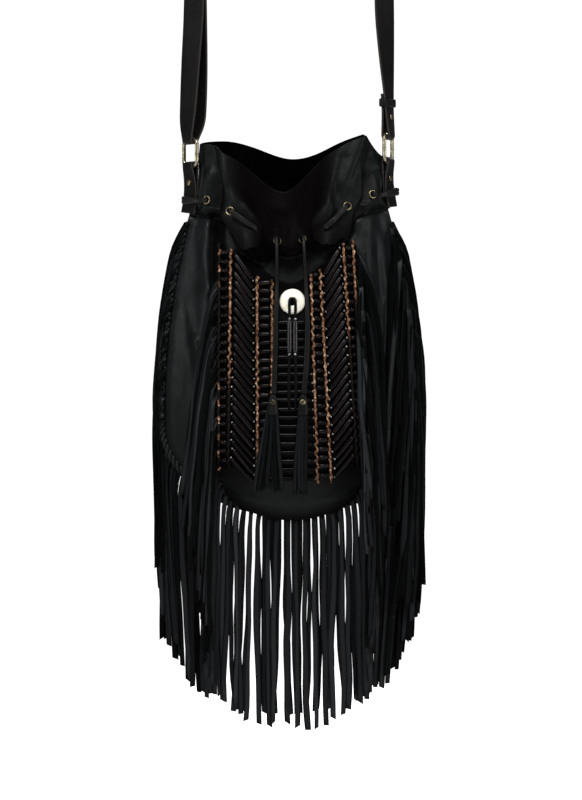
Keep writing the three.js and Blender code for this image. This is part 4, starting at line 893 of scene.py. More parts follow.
panel_left_t = 0.285 - 0.240 * np.linspace(0, 1, 52) ** 0.8
panel_right_t = 0.715 + 0.279 * np.linspace(0, 1, 58) ** 0.75
bottom_t, pulled_t = np.linspace(0.297, 0.703, 26), np.linspace(0.862, 0.990, 9)
panel_t = np.concatenate([panel_left_t, bottom_t, panel_right_t, pulled_t])
panel_count = len(panel_t)
panel_t = np.clip(panel_t + chance.normal(0, 0.0010, panel_count), 0.004, 0.996)
is_pulled = np.arange(panel_count) >= panel_count - len(pulled_t)
is_bottom = np.abs(panel_t - 0.5) < 0.205
side_layer = chance.uniform(0.0006, 0.0075, panel_count)
low_layer = chance.uniform(0.0006, 0.0016, panel_count)
panel_layer = np.where(np.abs(panel_t - 0.5) > 0.21, side_layer, low_layer)
panel_layer = np.where(is_pulled, chance.uniform(0.0112, 0.0138, panel_count), panel_layer)
panel_pull = np.where(is_pulled, chance.uniform(0.0005, 0.0050, panel_count), 0)
panel_drop = PANEL_FRINGE["length"] + uneven(panel_count, 0.0040, 0.003)
panel_line = panel_strips(panel_t, panel_drop, panel_layer, panel_pull)
panel_turn = chance.normal(0, 0.20, (panel_count, 1))
panel_turn = panel_turn + chance.normal(0, 0.26, (panel_count, 1)) * strip_share
panel_width = strip_widths(panel_count, 0.0054, 0.0074)
panel_swell = np.where(is_bottom[:, None], BOTTOM_STRIP[0] + BOTTOM_STRIP[1] * strip_share, SIDE_STRIP)
panel_fringe_grid = strips(panel_line, panel_width * panel_swell, PANEL_FRINGE["thick"], panel_turn)
low_tone, side_tone = chance.uniform(0.55, 1, panel_count), chance.uniform(0, 1, panel_count) ** 3.2
panel_fringe_tone = np.where(is_bottom, low_tone, side_tone)
hang_strips("panel_fringe_strips", panel_fringe_grid, panel_fringe_tone, "panel_fringe")

# Spacers: strips of tan leather stood on edge between the bead columns and pierced by every thread.
# Their raw cut edges face out, orange-brown and furry, and they wave where each row pulls on them.
SPACERS = np.array([
    # x and z of the upper end, x and z of the lower end
    (-0.0770, -0.598, -0.0778, -0.848),
    (-0.0645, -0.604, -0.0670, -0.848),
    (-0.0355, -0.634, -0.0350, -0.866),
    (-0.0190, -0.638, -0.0190, -0.866),
    (0.0235, -0.632, 0.0310, -0.862),
    (0.0335, -0.626, 0.0460, -0.862),
    (0.0588, -0.598, 0.0745, -0.842),
    (0.0695, -0.594, 0.0820, -0.842),
])
SPACER = {"half": 0.0015, "lift": 0.0011, "sunk": 0.0012, "height": 0.0064, "wave": 0.0009, "pitch": 0.0095}
SPACER_SECTION = np.array([
    # across in half widths, and share of the height
    (-1, 0), (1, 0), (1.05, 0.5), (1, 0.88), (0.55, 1), (-0.55, 1), (-1, 0.88), (-1.05, 0.5),
])
# which spacer, how much of its colour it loses, and the depths between which it darkens
SPACER_DARKENING = [(1, 0.45, 0.735, 0.775), (6, 0.80, 0.690, 0.730), (7, 0.97, 0.650, 0.700)]


def spacer_points():
    """Each spacer as a closed section of eight corners along its line, shifted sideways by a wave of one
    row pitch whose size and phase wander, its outer edge a little rounded and uneven in height. Tone is
    the share of the height, less where an outer strip is darkened."""
    share = np.linspace(0, 1, 201)[None, :]
    x = SPACERS[:, :1] + (SPACERS[:, 2:3] - SPACERS[:, :1]) * share
    z = SPACERS[:, 1:2] + (SPACERS[:, 3:4] - SPACERS[:, 1:2]) * share
    phase = chance.uniform(0, 6, (8, 1))
    row = 2 * np.pi * z / SPACER["pitch"] + 0.9 * np.sin(z / 0.029 + phase)
    size = SPACER["wave"] * (0.60 + 0.45 * np.sin(z / 0.021 + phase))
    wave = size * (np.sin(row) + 0.2 * np.sin(2.3 * row + phase) + 0.3 * np.sin(0.37 * row))
    tall = SPACER["height"] + 0.0007 * np.sin(z / 0.0037 + phase) * np.sin(z / 0.011)
    half = SPACER["half"] * (1 + 0.22 * np.sin(row + 1.3) + 0.15 * np.sin(1.7 * row + phase))
    base = panel_depth(x, z) + SPACER["lift"] - SPACER["sunk"]
    across, rise = SPACER_SECTION.T[:, None, None, :]
    sideways = (x + wave * 0.5)[..., None] + (wave * 0.6)[..., None] * rise + half[..., None] * across
    out = base[..., None] + (tall[..., None] + SPACER["sunk"]) * rise
    darkening = np.ones_like(z)
    for k, loss, begins, full in SPACER_DARKENING:
        darkening[k] = 1 - loss * smooth_step(-z[k], begins, full)
    darker_middle = smooth_step(-z[0], 0.640, 0.660) * smooth_fall(-z[0], 0.725, 0.750)
    patches = smooth_step(np.sin(2 * np.pi * z[0] / 0.0185 + 0.4), -0.3, 0.5)
    darkening[0] = (1 - 0.85 * darker_middle) * (0.55 + 0.45 * patches)
    return np.stack([sideways, -out, np.broadcast_to(z[..., None], out.shape)], -1), darkening[..., None] * rise


tan_edge, tree, shader, place = finish_of("tan_edge", Roughness=0.72, Specular_IOR_Level=0.08)
tan_patch = noise(tree, place, 300, 5, Roughness=0.6)
tan_mixed = put(tree, "ShaderNodeMath", {0: tone_of(tree), 1: tan_patch}, operation="ADD").outputs[0]
tan_colours = [
    (0, (0.004, 0.0022, 0.0015)), (0.45, (0.045, 0.019, 0.009)),
    (0.75, (0.18, 0.090, 0.048)), (1, (0.50, 0.355, 0.245)),
]
give(shader, {
    "Base Color": ramp(tree, levels(tree, tan_mixed, 0, 1, 1.22, 1.66), *tan_colours),
    "Normal": bump(tree, tan_patch, 0.6, 0.0008),
})
spacer_grid, spacer_tone = spacer_points()
spacer_nodes = [f"spacer_{k}" for k in range(1, 9)]
fit(shape("bead_spacers", spacer_grid, [tan_edge], **BAR, tone=spacer_tone), "tan_leather", *spacer_nodes)

# Beads: long tapered bone tubes, dyed near black and polished, in two chevrons and a straight middle,
# and short fat tubes of the same in four ladders. Each row is strung through the spacers on one thread.
BEAD_LIFT = 0.0019
BEADS = {
    # first row x and z of both ends, last row x and z of both ends, count, radius
    "hairpipes_left": ((-0.0600, -0.610, -0.0405, -0.638), (-0.0625, -0.835, -0.0400, -0.860), 24, 0.0028),
    "hairpipes_right": ((0.0376, -0.633, 0.0545, -0.605), (0.0510, -0.853, 0.0705, -0.830), 24, 0.0028),
    "hairpipes_centre": ((-0.0150, -0.685, 0.0200, -0.685), (-0.0155, -0.856, 0.0270, -0.856), 19, 0.0028),
    "ladder_beads_1": ((-0.0750, -0.608, -0.0669, -0.608), (-0.0755, -0.836, -0.0695, -0.836), 24, 0.0026),
    "ladder_beads_2": ((-0.0337, -0.641, -0.0208, -0.641), (-0.0333, -0.859, -0.0208, -0.859), 24, 0.0026),
    "ladder_beads_3": ((0.0255, -0.633, 0.0315, -0.633), (0.0330, -0.852, 0.0435, -0.852), 24, 0.0026),
    "ladder_beads_4": ((0.0614, -0.603, 0.0675, -0.603), (0.0759, -0.829, 0.0788, -0.829), 24, 0.0026),
}
# scale of each column's bead tone: the middle column darker and duller as painted shade, ladders 2 and 3
# lighter and shinier as painted light
BEAD_LIGHT_SHADE = {"hairpipes_centre": 0.3, "ladder_beads_2": 1.0, "ladder_beads_3": 1.0}
# share of the length and of the radius at each ring of a bead
LONG_BEAD = [
    (0, 0.40), (0.0, 0.74), (0.06, 0.88), (0.2, 0.98), (0.5, 1.02),
    (0.8, 0.98), (0.94, 0.88), (1.0, 0.74), (1.0, 0.40),
]
SHORT_BEAD = [
    (0, 0.40), (0.0, 0.70), (0.12, 0.90), (0.32, 1.02),
    (0.68, 1.02), (0.88, 0.90), (1.0, 0.70), (1.0, 0.40),
]


def on_panel(x, z, rise):
    """Point at a height above the panel's outer face."""
    return np.stack([x, -(panel_depth(x, z) + rise), z], -1)


def bead_ends(name):
    """Both ends of every bead of a column, evenly between its first and last rows but for a small wander."""
    first, last, count, radius = BEADS[name]
    ends = np.linspace(first, last, count) + chance.normal(0, 0.0004, (count, 4))
    rise = BEAD_LIFT + radius
    return on_panel(ends[:, 0], ends[:, 1], rise), on_panel(ends[:, 2], ends[:, 3], rise)


def polished_bone(name, least, most, rough):
    """Dyed bone: streaks of a noise times the bead's tone between black and red-brown, and a polish whose
    strength goes from least to most with the tone."""
    material, tree, shader, place = finish_of(name)
    tone = tone_of(tree)
    streak = noise(tree, place, 190, 4, Distortion=1.2)
    dyed = put(tree, "ShaderNodeMath", {0: tone, 1: streak}, operation="MULTIPLY").outputs[0]
    give(shader, {
        "Base Color": ramp(tree, dyed, (0, (0.0014, 0.0012, 0.0014)), (1, (0.0100, 0.0058, 0.0058))),
        "Specular IOR Level": levels(tree, tone, least, most),
        "Roughness": spread_value(tree, place, 240, rough - 0.07, rough + 0.07),
    })
    return material


dark_bone = polished_bone("dark_bone", 0.04, 0.16, 0.23)
bead_rows = {name: bead_ends(name) for name in BEADS}
for bead_name, (bead_from, bead_to) in bead_rows.items():
    bead_form = LONG_BEAD if bead_name.startswith("hairpipes") else SHORT_BEAD
    bead_grid = along_line(bead_from, bead_to, BEADS[bead_name][3], 12, bead_form)
    bead_tone = chance.uniform(0.3, 1, len(bead_from))[:, None, None] * BEAD_LIGHT_SHADE.get(bead_name, 0.75)
    beads = shape(f"{bead_name}_polished", bead_grid, [dark_bone], **BAR, tone=bead_tone)
    fit(beads, "dark_bead", bead_name)

# Threads: black waxed thread through each row, turning from the end of one bead into the next.
# It shows only as short dark loops beyond the bead ends.
THREAD = {"radius": 0.0006, "within": 0.002, "beyond": 0.0016}
thread_end = np.concatenate([np.concatenate([a, b]) for a, b in bead_rows.values()])
thread_run = unit(np.concatenate([np.concatenate([a - b, b - a]) for a, b in bead_rows.values()]))
thread_from = thread_end - THREAD["within"] * thread_run
thread_to = thread_end + THREAD["beyond"] * thread_run
thread_grid = along_line(thread_from, thread_to, THREAD["radius"], 6, [(0, 1), (1, 1)])
fit(shape("bead_threads", thread_grid, [thread], **BAR), "black_leather")

# Seed beads: small silvered glass beads strung at the ends of the long beads, beside the spacers.
# They lie in a row down the inner ends of both chevrons and part of the way down the outer ends.
SEED = {"radius": 0.0013, "half": 0.00104, "beyond": 0.0020, "proud": 0.0006}
SEED_BALL = [(0.0, 0.34), (0.06, 0.66), (0.25, 0.95), (0.5, 1.04), (0.75, 0.95), (0.94, 0.66), (1.0, 0.34)]


def seeds_beyond(ends, others, rows):
    """Seed centres and axes just beyond the chosen ends of a column's beads, in line with each bead."""
    axis = unit(ends - others)
    return (ends + SEED["beyond"] * axis)[rows], axis[rows]


left_out, left_in = bead_rows["hairpipes_left"]
right_in, right_out = bead_rows["hairpipes_right"]
middle_left, middle_right = bead_rows["hairpipes_centre"]
seed_rows = [
    seeds_beyond(left_in, left_out, slice(0, 24)),
    seeds_beyond(right_in, right_out, slice(0, 24)),
    seeds_beyond(right_out, right_in, slice(0, 20)),
    seeds_beyond(left_out, left_in, slice(12, 24)),
    seeds_beyond(middle_right, middle_left, slice(6, 19)),
]
seed_centre = np.concatenate([row[0] for row in seed_rows]) + [0, -SEED["proud"], 0]
seed_reach = SEED["half"] * np.concatenate([row[1] for row in seed_rows])
seed_grid = along_line(seed_centre - seed_reach, seed_centre + seed_reach, SEED["radius"], 8, SEED_BALL)
silver_seed = mottled(
    "silver_seed", 240, (0.10, 0.10, 0.11), (0.40, 0.39, 0.38), Metallic=1.0, Roughness=0.30
)
fit(shape("silver_seeds", seed_grid, [silver_seed], **BAR), "dark_bead")

# Bone button: a turned disc of white polished bone, slightly dished, with a hole in its middle.
# It lies on the plain leather above the middle beads, held by the thong that comes out of the hole.
BUTTON = {"x": 0.0032, "z": -0.662, "radius": 0.014, "thick": 0.0035, "hole": 0.0044, "clear": 0.0007}
BUTTON_BACK = -(float(panel_depth(np.float64(BUTTON["x"]), np.float64(BUTTON["z"]))) + BUTTON["clear"])
# a hoop is closed round its section and along its length
HOOP = {"loop_columns": True, "loop_rows": True}
button_form = np.array([
    (BUTTON["hole"], 0),
    (BUTTON["radius"] - 0.0010, 0),
    (BUTTON["radius"] - 0.0003, 0.0004),
    (BUTTON["radius"], 0.0014),
    (BUTTON["radius"] - 0.0004, 0.0025),
    (BUTTON["radius"] - 0.0016, BUTTON["thick"]),
    (BUTTON["radius"] - 0.0034, 0.0033),
    (BUTTON["hole"] + 0.0012, 0.0029),
    (BUTTON["hole"] + 0.0003, 0.0027),
    (BUTTON["hole"], 0.0022),
])


def turned(profile, origins, axes, sides):
    """Profile of (radius, height) turned about each axis, origin + height * axis + radius * circle."""
    origins = np.asarray(origins, float)
    ends = origins + unit(np.asarray(axes, float))
    return along_line(origins, ends, 1.0, sides, [(height, radius) for radius, height in profile])


white_bone, tree, shader, place = finish_of(
    "white_bone", Specular_IOR_Level=0.5, Subsurface_Weight=0.08, Subsurface_Scale=0.004
)
give(shader, {
    "Base Color": spread_colour(tree, place, 130, (0.78, 0.74, 0.60), (0.93, 0.91, 0.82), 5),
    "Roughness": spread_value(tree, place, 300, 0.26, 0.42),
    "Normal": bump(tree, noise(tree, place, 800, 2), 0.08, 0.0004),
})
button_grid = turned(button_form, [(BUTTON["x"], BUTTON_BACK, BUTTON["z"])], [(0, -1, 0)], 56)
fit(shape("bone_button", button_grid, [white_bone], **HOOP), "bone", "button_disc")

# Thong: a thin black lace doubled through the button's hole, its two legs carrying a tube bead each.
# Both tails hang free below the tubes to the photo's length.
THONG = {
    "radius": 0.0012, "wide": 0.0032, "thick": 0.0018, "clear": 0.0004,
    "spread": 0.0030, "arch": -0.660, "end": -0.781,
}
TUBE = {"spread": 0.0032, "top": -0.683, "y": -0.0654, "length": 0.035}
THONG_FRONT = BUTTON_BACK - BUTTON["thick"] - THONG["clear"] - THONG["radius"]
THONG_ROUTE = [
    # distance to the side of the button's middle, y and z
    (0.0010, BUTTON_BACK - BUTTON["thick"] * 0.9, THONG["arch"] + 0.0022),
    (THONG["spread"], THONG_FRONT + THONG["clear"], THONG["arch"] - 0.001),
    (TUBE["spread"], THONG_FRONT - 0.0015, TUBE["top"] + 0.008),
    (TUBE["spread"], TUBE["y"], TUBE["top"] + 0.001),
    (TUBE["spread"], TUBE["y"], -0.720),
    (TUBE["spread"] + 0.0008, TUBE["y"], -0.750),
    (TUBE["spread"], TUBE["y"], THONG["end"]),
]
SIDES = {"left": -1, "right": 1}


def flowing_line(points, steps):
    """Smooth line through points: cubic pieces whose knots are spaced by the root of each chord."""
    points = np.asarray(points, float)
    gaps = np.sqrt(np.linalg.norm(np.diff(points, axis=0), axis=1))
    knots = np.concatenate([[0], np.cumsum(gaps)])
    slopes = np.gradient(points, knots, axis=0)
    place = np.linspace(0, knots[-1], steps)
    k = np.clip(np.searchsorted(knots, place, "right") - 1, 0, len(gaps) - 1)
    u, gap = ((place - knots[k]) / gaps[k])[:, None], gaps[k][:, None]
    near = (1 + 2 * u) * (1 - u) ** 2 * points[k] + u * (1 - u) ** 2 * gap * slopes[k]
    return near + u * u * (3 - 2 * u) * points[k + 1] + u * u * (u - 1) * gap * slopes[k + 1]


def carried(path, hint, section):
    """Section points (across, out), one set for each station or one for all, carried along a path.
    Across is the hint made square to the path, and out is square to both."""
    along = unit(np.gradient(path, axis=0))
    across = squared(np.array([hint], float), along)
    out = np.cross(along, across)
    section = np.broadcast_to(section, (len(path),) + np.shape(section)[-2:])
    return path[:, None, :] + section[..., :1] * across[:, None, :] + section[..., 1:] * out[:, None, :]


thong_lace = cowhide(
    "thong_lace", (0.0010, 0.0010, 0.0011), (0.0026, 0.0026, 0.0028), 0.5, 0.15, 0.2, shine=0.05
)
thong_ring = full_turn(10)
thong_half = np.array([THONG["wide"], THONG["thick"]]) / 2
thong_section = thong_half * np.stack([np.cos(thong_ring), np.sin(thong_ring)], -1)
thong_legs = {}
for side, way in SIDES.items():
    thong_path = flowing_line([(BUTTON["x"] + way * off, y, z) for off, y, z in THONG_ROUTE], 46)
    thong_grid = carried(thong_path, (1, 0, 0), thong_section)
    thong = shape(f"thong_{side}", thong_grid, [thong_lace], **BAR, turn_over=True)
    thong_legs[side] = fit(thong, "black_leather", "button_thong"), thong_path

# Pendant tubes: two polished dark bone tubes side by side on the thong, bored through.
# A small silver bead sits above and below each tube.
TUBE_FORM = [
    # radius and height
    (0.0017, 0), (0.0023, 0), (0.0026, 0.0006), (0.0027, 0.003), (0.00275, 0.0175),
    (0.0027, 0.032), (0.0026, 0.0344), (0.0023, 0.035), (0.0017, 0.035),
]
STOP_FORM = [(0.0013, -0.0011), (0.0017, -0.0009), (0.0020, 0), (0.0017, 0.0009), (0.0013, 0.0011)]
STOP_GAP = 0.0019
tube_bone = polished_bone("tube_bone", 0.1, 0.6, 0.30)
tube_foot = TUBE["top"] - TUBE["length"]
for side, (thong, thong_path) in thong_legs.items():
    tube_at = (BUTTON["x"] + SIDES[side] * TUBE["spread"], TUBE["y"], tube_foot)
    tube_grid = turned(TUBE_FORM, [tube_at], [(0, 0, 1)], 18)
    tube = shape(f"pendant_tube_{side}_polished", tube_grid, [tube_bone], **HOOP, tone=0.7)
    fit(tube, "dark_bead", f"pendant_tube_{side}")
stop_x = BUTTON["x"] + TUBE["spread"] * np.array([-1, 1])
stop_z = np.array([TUBE["top"] + STOP_GAP, tube_foot - STOP_GAP])
stop_centre = np.stack(np.meshgrid(stop_x, [TUBE["y"]], stop_z, indexing="ij"), -1).reshape(-1, 3)
stop_grid = turned(STOP_FORM, stop_centre, np.tile([0, 0, 1.0], (4, 1)), 12)
fit(shape("thong_stops", stop_grid, [silver_seed], **HOOP), "dark_bead")

# Eyelets: rolled brass rings, aged dull, set through the collar in the order in which the cord meets them.
# The barrel goes through the leather and the flange is rolled over on the outside.
EYELETS = np.array([
    # x, whether behind, and height on the collar
    (-0.014, 0, 0.74), (-0.037, 0, 0.79), (-0.062, 0, 0.72), (-0.088, 0, 0.68),
    (-0.084, 1, 0.68), (-0.030, 1, 0.68), (0.030, 1, 0.68), (0.084, 1, 0.68),
    (0.090, 0, 0.68), (0.063, 0, 0.72), (0.037, 0, 0.79), (0.015, 0, 0.74),
])
EYELET_FORM = np.array([
    # radius and height out of the leather
    (0.0029, -0.0025), (0.0034, -0.0025), (0.0034, 0.0012), (0.0047, 0.0012), (0.0050, 0.0017),
    (0.0047, 0.0023), (0.0041, 0.0026), (0.0035, 0.0024), (0.0030, 0.0018), (0.0029, 0.0008),
])
eyelet_x, eyelet_behind, eyelet_level = EYELETS.T
eyelet_half = np.where(eyelet_x > 0, collar_row("half_right", eyelet_level), collar_row("half", eyelet_level))
flat_angle = np.arcsin(eyelet_x / eyelet_half)
eyelet_angle = np.where(eyelet_behind > 0, np.sign(flat_angle) * np.pi - flat_angle, flat_angle)


def collar_out(angle, v):
    """Direction out of the collar: the cross product of its slopes down and along."""
    step = 0.01
    along = collar_point(angle + step, v) - collar_point(angle - step, v)
    down = collar_point(angle, np.minimum(v + step, 1)) - collar_point(angle, np.maximum(v - step, 0))
    return unit(np.cross(down, along))


aged_brass = mottled(
    "aged_brass", 170, (0.085, 0.072, 0.042), (0.36, 0.295, 0.175), 5, rough=(240, 0.24, 0.46), Metallic=1.0
)
# a darker copy of the brass: painted shade
shaded_brass = mottled(
    "shaded_brass", 400, (0.020, 0.018, 0.013), (0.075, 0.066, 0.045), 5, Metallic=1.0, Roughness=0.5
)
eyelet_seat, eyelet_out = collar_skin(eyelet_angle, eyelet_level, 0), collar_out(eyelet_angle, eyelet_level)
eyelet_grid = turned(EYELET_FORM, eyelet_seat, eyelet_out, 28)
# the two in the tuck take the darker brass: painted shade
for eyelet_group, brass, numbers in (
    ("collar_eyelets", aged_brass, range(1, 11)), ("tuck_eyelets", shaded_brass, (0, 11))
):
    eyelet_nodes = [f"eyelet_{k + 1:02d}" for k in numbers]
    fit(shape(eyelet_group, eyelet_grid[list(numbers)], [brass], **HOOP), "antique_brass", *eyelet_nodes)

# Drawcord: a flat lace folded on itself, so a line runs down its middle. It weaves in at one eyelet and
# out at the next, round the outside of both ring tabs, and its two ends hang in front to the tassels.
# distances off the collar outside it, inside it and in a barrel, and how many times deeper it runs in the
# tuck; then the width, what the lace gains round the tabs, and the thickness
CORD = {
    "outside": 0.0068, "inside": 0.0056, "in_barrel": 0.0006, "in_tuck": 2.2,
    "wide": 0.0054, "wider": 0.0032, "thick": 0.0030,
}
LAST_EYELET = len(EYELETS) - 1
ROUND_TABS = {
    # after which eyelet: points round the outside of a ring tab
    3: np.array([
        (-0.0985, -0.0190, -0.5510), (-0.1075, -0.0140, -0.5500), (-0.1155, -0.0034, -0.5495),
        (-0.1200, 0.0090, -0.5490), (-0.1060, 0.0180, -0.5490),
    ]),
    7: np.array([
        (0.1030, 0.0200, -0.5390), (0.1215, 0.0104, -0.5395), (0.1185, -0.0030, -0.5400),
        (0.1090, -0.0145, -0.5420), (0.0985, -0.0195, -0.5450),
    ]),
}


def off_collar(angle, distance, v):
    """Point at a distance out of the collar at an angle round it and v down it."""
    level = np.broadcast_to(v, np.shape(angle))
    return collar_skin(angle, level, 0) + distance * collar_out(angle, level)


def cut_corners(points, times):
    """Rounds a line of points by cutting each corner at a quarter and three quarters of its sides."""
    for _ in range(times):
        near = 0.75 * points[:-1] + 0.25 * points[1:]
        far = 0.25 * points[:-1] + 0.75 * points[1:]
        middle = np.stack([near, far], 1).reshape(-1, points.shape[1])
        points = np.concatenate([points[:1], middle, points[-1:]])
    return points


cord_route = []
for k, angle in enumerate(eyelet_angle):
    before, after = CORD["outside"], -CORD["inside"]
    if k % 2:
        before, after = after, before
    enters = -CORD["in_barrel"] if k == 0 else before
    cord_route.append(off_collar(angle, enters, eyelet_level[k])[None])
    leaves = -CORD["in_barrel"] if k == LAST_EYELET else after
    cord_route.append(off_collar(angle, leaves, eyelet_level[k])[None])
    if k in ROUND_TABS:
        cord_route.append(ROUND_TABS[k])
    elif k < LAST_EYELET:
        sweep = (eyelet_angle[k + 1] - angle + np.pi) % (2 * np.pi) - np.pi
        between = np.array([0.3, 0.7])
        level = eyelet_level[k] + (eyelet_level[k + 1] - eyelet_level[k]) * between
        deeper = CORD["in_tuck"] if k in (0, LAST_EYELET - 1) else 1
        cord_route.append(off_collar(angle + sweep * between, after * deeper, level))
cord_path = cut_corners(np.concatenate(cord_route), 3)


def folded_lace(wide, thick):
    """Section of a flat lace folded double: an oval, waisted in the middle where the two edges meet."""
    across, out = 0.5 * np.cos(full_turn(16)), 0.5 * np.sin(full_turn(16))
    out = out * (1 - 0.42 * bell(across, 0.13))
    return np.stack([np.multiply.outer(wide, across), np.multiply.outer(thick, out)], -1)


cord_wide = CORD["wide"] + CORD["wider"] * smooth_step(np.abs(cord_path[:, 0]), 0.100, 0.113)
cord_section = folded_lace(cord_wide, np.full(len(cord_path), CORD["thick"]))
drawn_lace = cowhide(
    "drawn_lace", (0.0032, 0.0031, 0.0029), (0.0078, 0.0075, 0.0071), 0.44, 0.15, 0.2, shine=0.12
)
cord_grid = carried(cord_path, (0, 0, 1), cord_section)
drawcord = shape("drawcord_lace", cord_grid, [drawn_lace], **BAR, turn_over=True)
fit(drawcord, "black_leather", "drawcord")

# Tassels: strips cut from a square of hide, rolled round each end of the lace and held by one rivet.
# The left one is splayed over the beads, the right one hangs closed. The ends of the lace that carry
# them come out of the two middle eyelets and hang beside the button.
TASSELS = {
    # head x, foot x, half spread at the foot, foot z, count, rivet x
    "left": (-0.0180, -0.0240, 0.0150, -0.868, 9, -0.0185),
    "right": (0.0150, 0.0120, 0.0066, -0.870, 7, 0.0145),
}
TASSEL = {
    "y": -0.067, "root": -0.7686, "bunch": 0.0026, "thick": 0.0012,
    "rivet_z": -0.772, "rivet_off": 0.0032,
}
TASSEL_RIVET = (0.0034, 0.0017)
HEAD = {"z": (-0.786, -0.776, -0.768, -0.764), "half": (0.0062, 0.0054, 0.0045, 0.0026), "deep": 0.0029}
END_EYELET = {"left": 0, "right": LAST_EYELET}
END_LINE = {
    "left": [
        (-0.0140, -0.0440, -0.591), (-0.0140, -0.0500, -0.600), (-0.0138, -0.0530, -0.614),
        (-0.0139, -0.0550, -0.640), (-0.0145, -0.0610, -0.668), (-0.0152, -0.0650, -0.700),
        (-0.0162, -0.0653, -0.735), (-0.0172, -0.0655, -0.764),
    ],
    "right": [
        (0.0150, -0.0440, -0.590), (0.0157, -0.0500, -0.599), (0.0166, -0.0530, -0.614),
        (0.0180, -0.0550, -0.640), (0.0193, -0.0615, -0.670), (0.0196, -0.0650, -0.700),
        (0.0182, -0.0653, -0.735), (0.0155, -0.0655, -0.764),
    ],
}
# z, and the width or thickness of a hanging end there
END_WIDE = (-0.764, -0.700, -0.660, -0.625), (0.0056, 0.0056, 0.0048, 0.0036)
END_THICK = (-0.700, -0.625), (0.0024, 0.0030)
RIVET_FORM = np.array([
    # share of the radius and of the rise
    (0.0002, 0), (1.0, 0), (1.0, 0.25), (0.93, 0.55), (0.72, 0.83), (0.40, 0.97), (0.0002, 1.0),
])


def rivets(radius, rise, origins, axes):
    """Domed rivet caps: the table's profile scaled to a radius and a rise, turned about each axis."""
    return turned(RIVET_FORM * [radius, rise], origins, axes, 24)


soft_lace = cowhide(
    "soft_lace", (0.0028, 0.0027, 0.0026), (0.0068, 0.0066, 0.0063), 0.44, 0.15, 0.2, shine=0.11
)
# the left rivet takes the darker brass: painted shade
for side, rivet_finish in (("left", shaded_brass), ("right", aged_brass)):
    head_x, foot_x, spread, foot_z, count, rivet_x = TASSELS[side]
    fan = np.linspace(-1, 1, count)[:, None] + chance.normal(0, 0.06, (count, 1))
    v = np.linspace(0, 1, 12)[None, :]
    tassel_x = head_x + TASSEL["bunch"] * fan + (foot_x - head_x + (spread - TASSEL["bunch"]) * fan) * v**0.8
    tassel_x = tassel_x + 0.0012 * v * np.sin(5 * v + chance.uniform(0, 6, (count, 1)))
    tassel_y = TASSEL["y"] - 0.0016 + 0.0034 * (np.arange(count) % 2)[:, None] + 0.0008 * np.sin(4 * v + fan)
    tassel_foot = foot_z + 0.003 * chance.uniform(-1, 1, (count, 1))
    tassel_z = TASSEL["root"] + (tassel_foot - TASSEL["root"]) * v
    tassel_turn = chance.normal(0, 0.25, (count, 1)) + 0 * v
    tassel_wide = (0.0032 + 0.0014 * v**0.5) * np.ones((count, 1))
    tassel_line = np.stack([tassel_x, tassel_y, tassel_z], -1)
    tassel_grid = strips(tassel_line, tassel_wide, TASSEL["thick"], tassel_turn)
    tassel_tone = chance.uniform(0.1, 0.55, count)
    tassel = hang_strips(f"tassel_{side}_strips", tassel_grid, tassel_tone, f"tassel_{side}")
    head_z, head_ring = np.linspace(HEAD["z"][-1], HEAD["z"][0], 12)[:, None], full_turn(20)[None, :]
    head_middle = head_x + (foot_x - head_x) * np.clip((-0.770 - head_z) / 0.1, 0, 1)
    head_across = head_middle + np.interp(head_z, HEAD["z"], HEAD["half"]) * np.cos(head_ring)
    head_deep = TASSEL["y"] + HEAD["deep"] * np.sin(head_ring)
    head_grid = np.stack(np.broadcast_arrays(head_across, head_deep, head_z), -1)
    tassel_head = shape(f"tassel_{side}_head", head_grid, [soft_lace], **BAR, turn_over=True)
    fit(tassel_head, "black_leather")
    rivet_seat = (rivet_x, TASSEL["y"] - TASSEL["rivet_off"], TASSEL["rivet_z"])
    rivet_grid = rivets(*TASSEL_RIVET, [rivet_seat], [(0, -1, 0)])
    tassel_rivet = shape(f"tassel_{side}_rivet", rivet_grid, [rivet_finish], **BAR)
    fit(tassel_rivet, "antique_brass", f"tassel_rivet_{side}")
    seat, seat_out = eyelet_seat[END_EYELET[side]], eyelet_out[END_EYELET[side]]
    end_start = [seat + CORD[height] * seat_out for height in ("in_barrel", "outside")]
    end_path = flowing_line(np.vstack([end_start, END_LINE[side]]), 70)
    end_section = folded_lace(np.interp(end_path[:, 2], *END_WIDE), np.interp(end_path[:, 2], *END_THICK))
    end_grid = carried(end_path, (1, 0, 0), end_section)
    end_lace = shape(f"drawcord_end_{side}_lace", end_grid, [soft_lace], **BAR, turn_over=True)
    fit(end_lace, "black_leather", f"drawcord_end_{side}")

# Rings: rectangles of aged brass wire with round corners, one at each side of the mouth.
# The strap hangs them by their upper bar, and a tab on the collar holds their lower bar.
RING = {"half": 0.01675, "rise": 0.01425, "corner": 0.006, "wire": 0.00225}
RINGS = {"left": (-0.1095, -0.497, 64), "right": (0.109, -0.492, 106)}


def across_at(turn):
    """Level direction across a strap that is turned by an angle in degrees from facing the front."""
    turn = np.radians(turn)
    return np.stack([np.cos(turn), -np.sin(turn), 0 * turn], -1)


def out_at(turn):
    """Level direction out of the face of a strap that is turned by an angle in degrees."""
    turn = np.radians(turn)
    return np.stack([-np.sin(turn), -np.cos(turn), 0 * turn], -1)


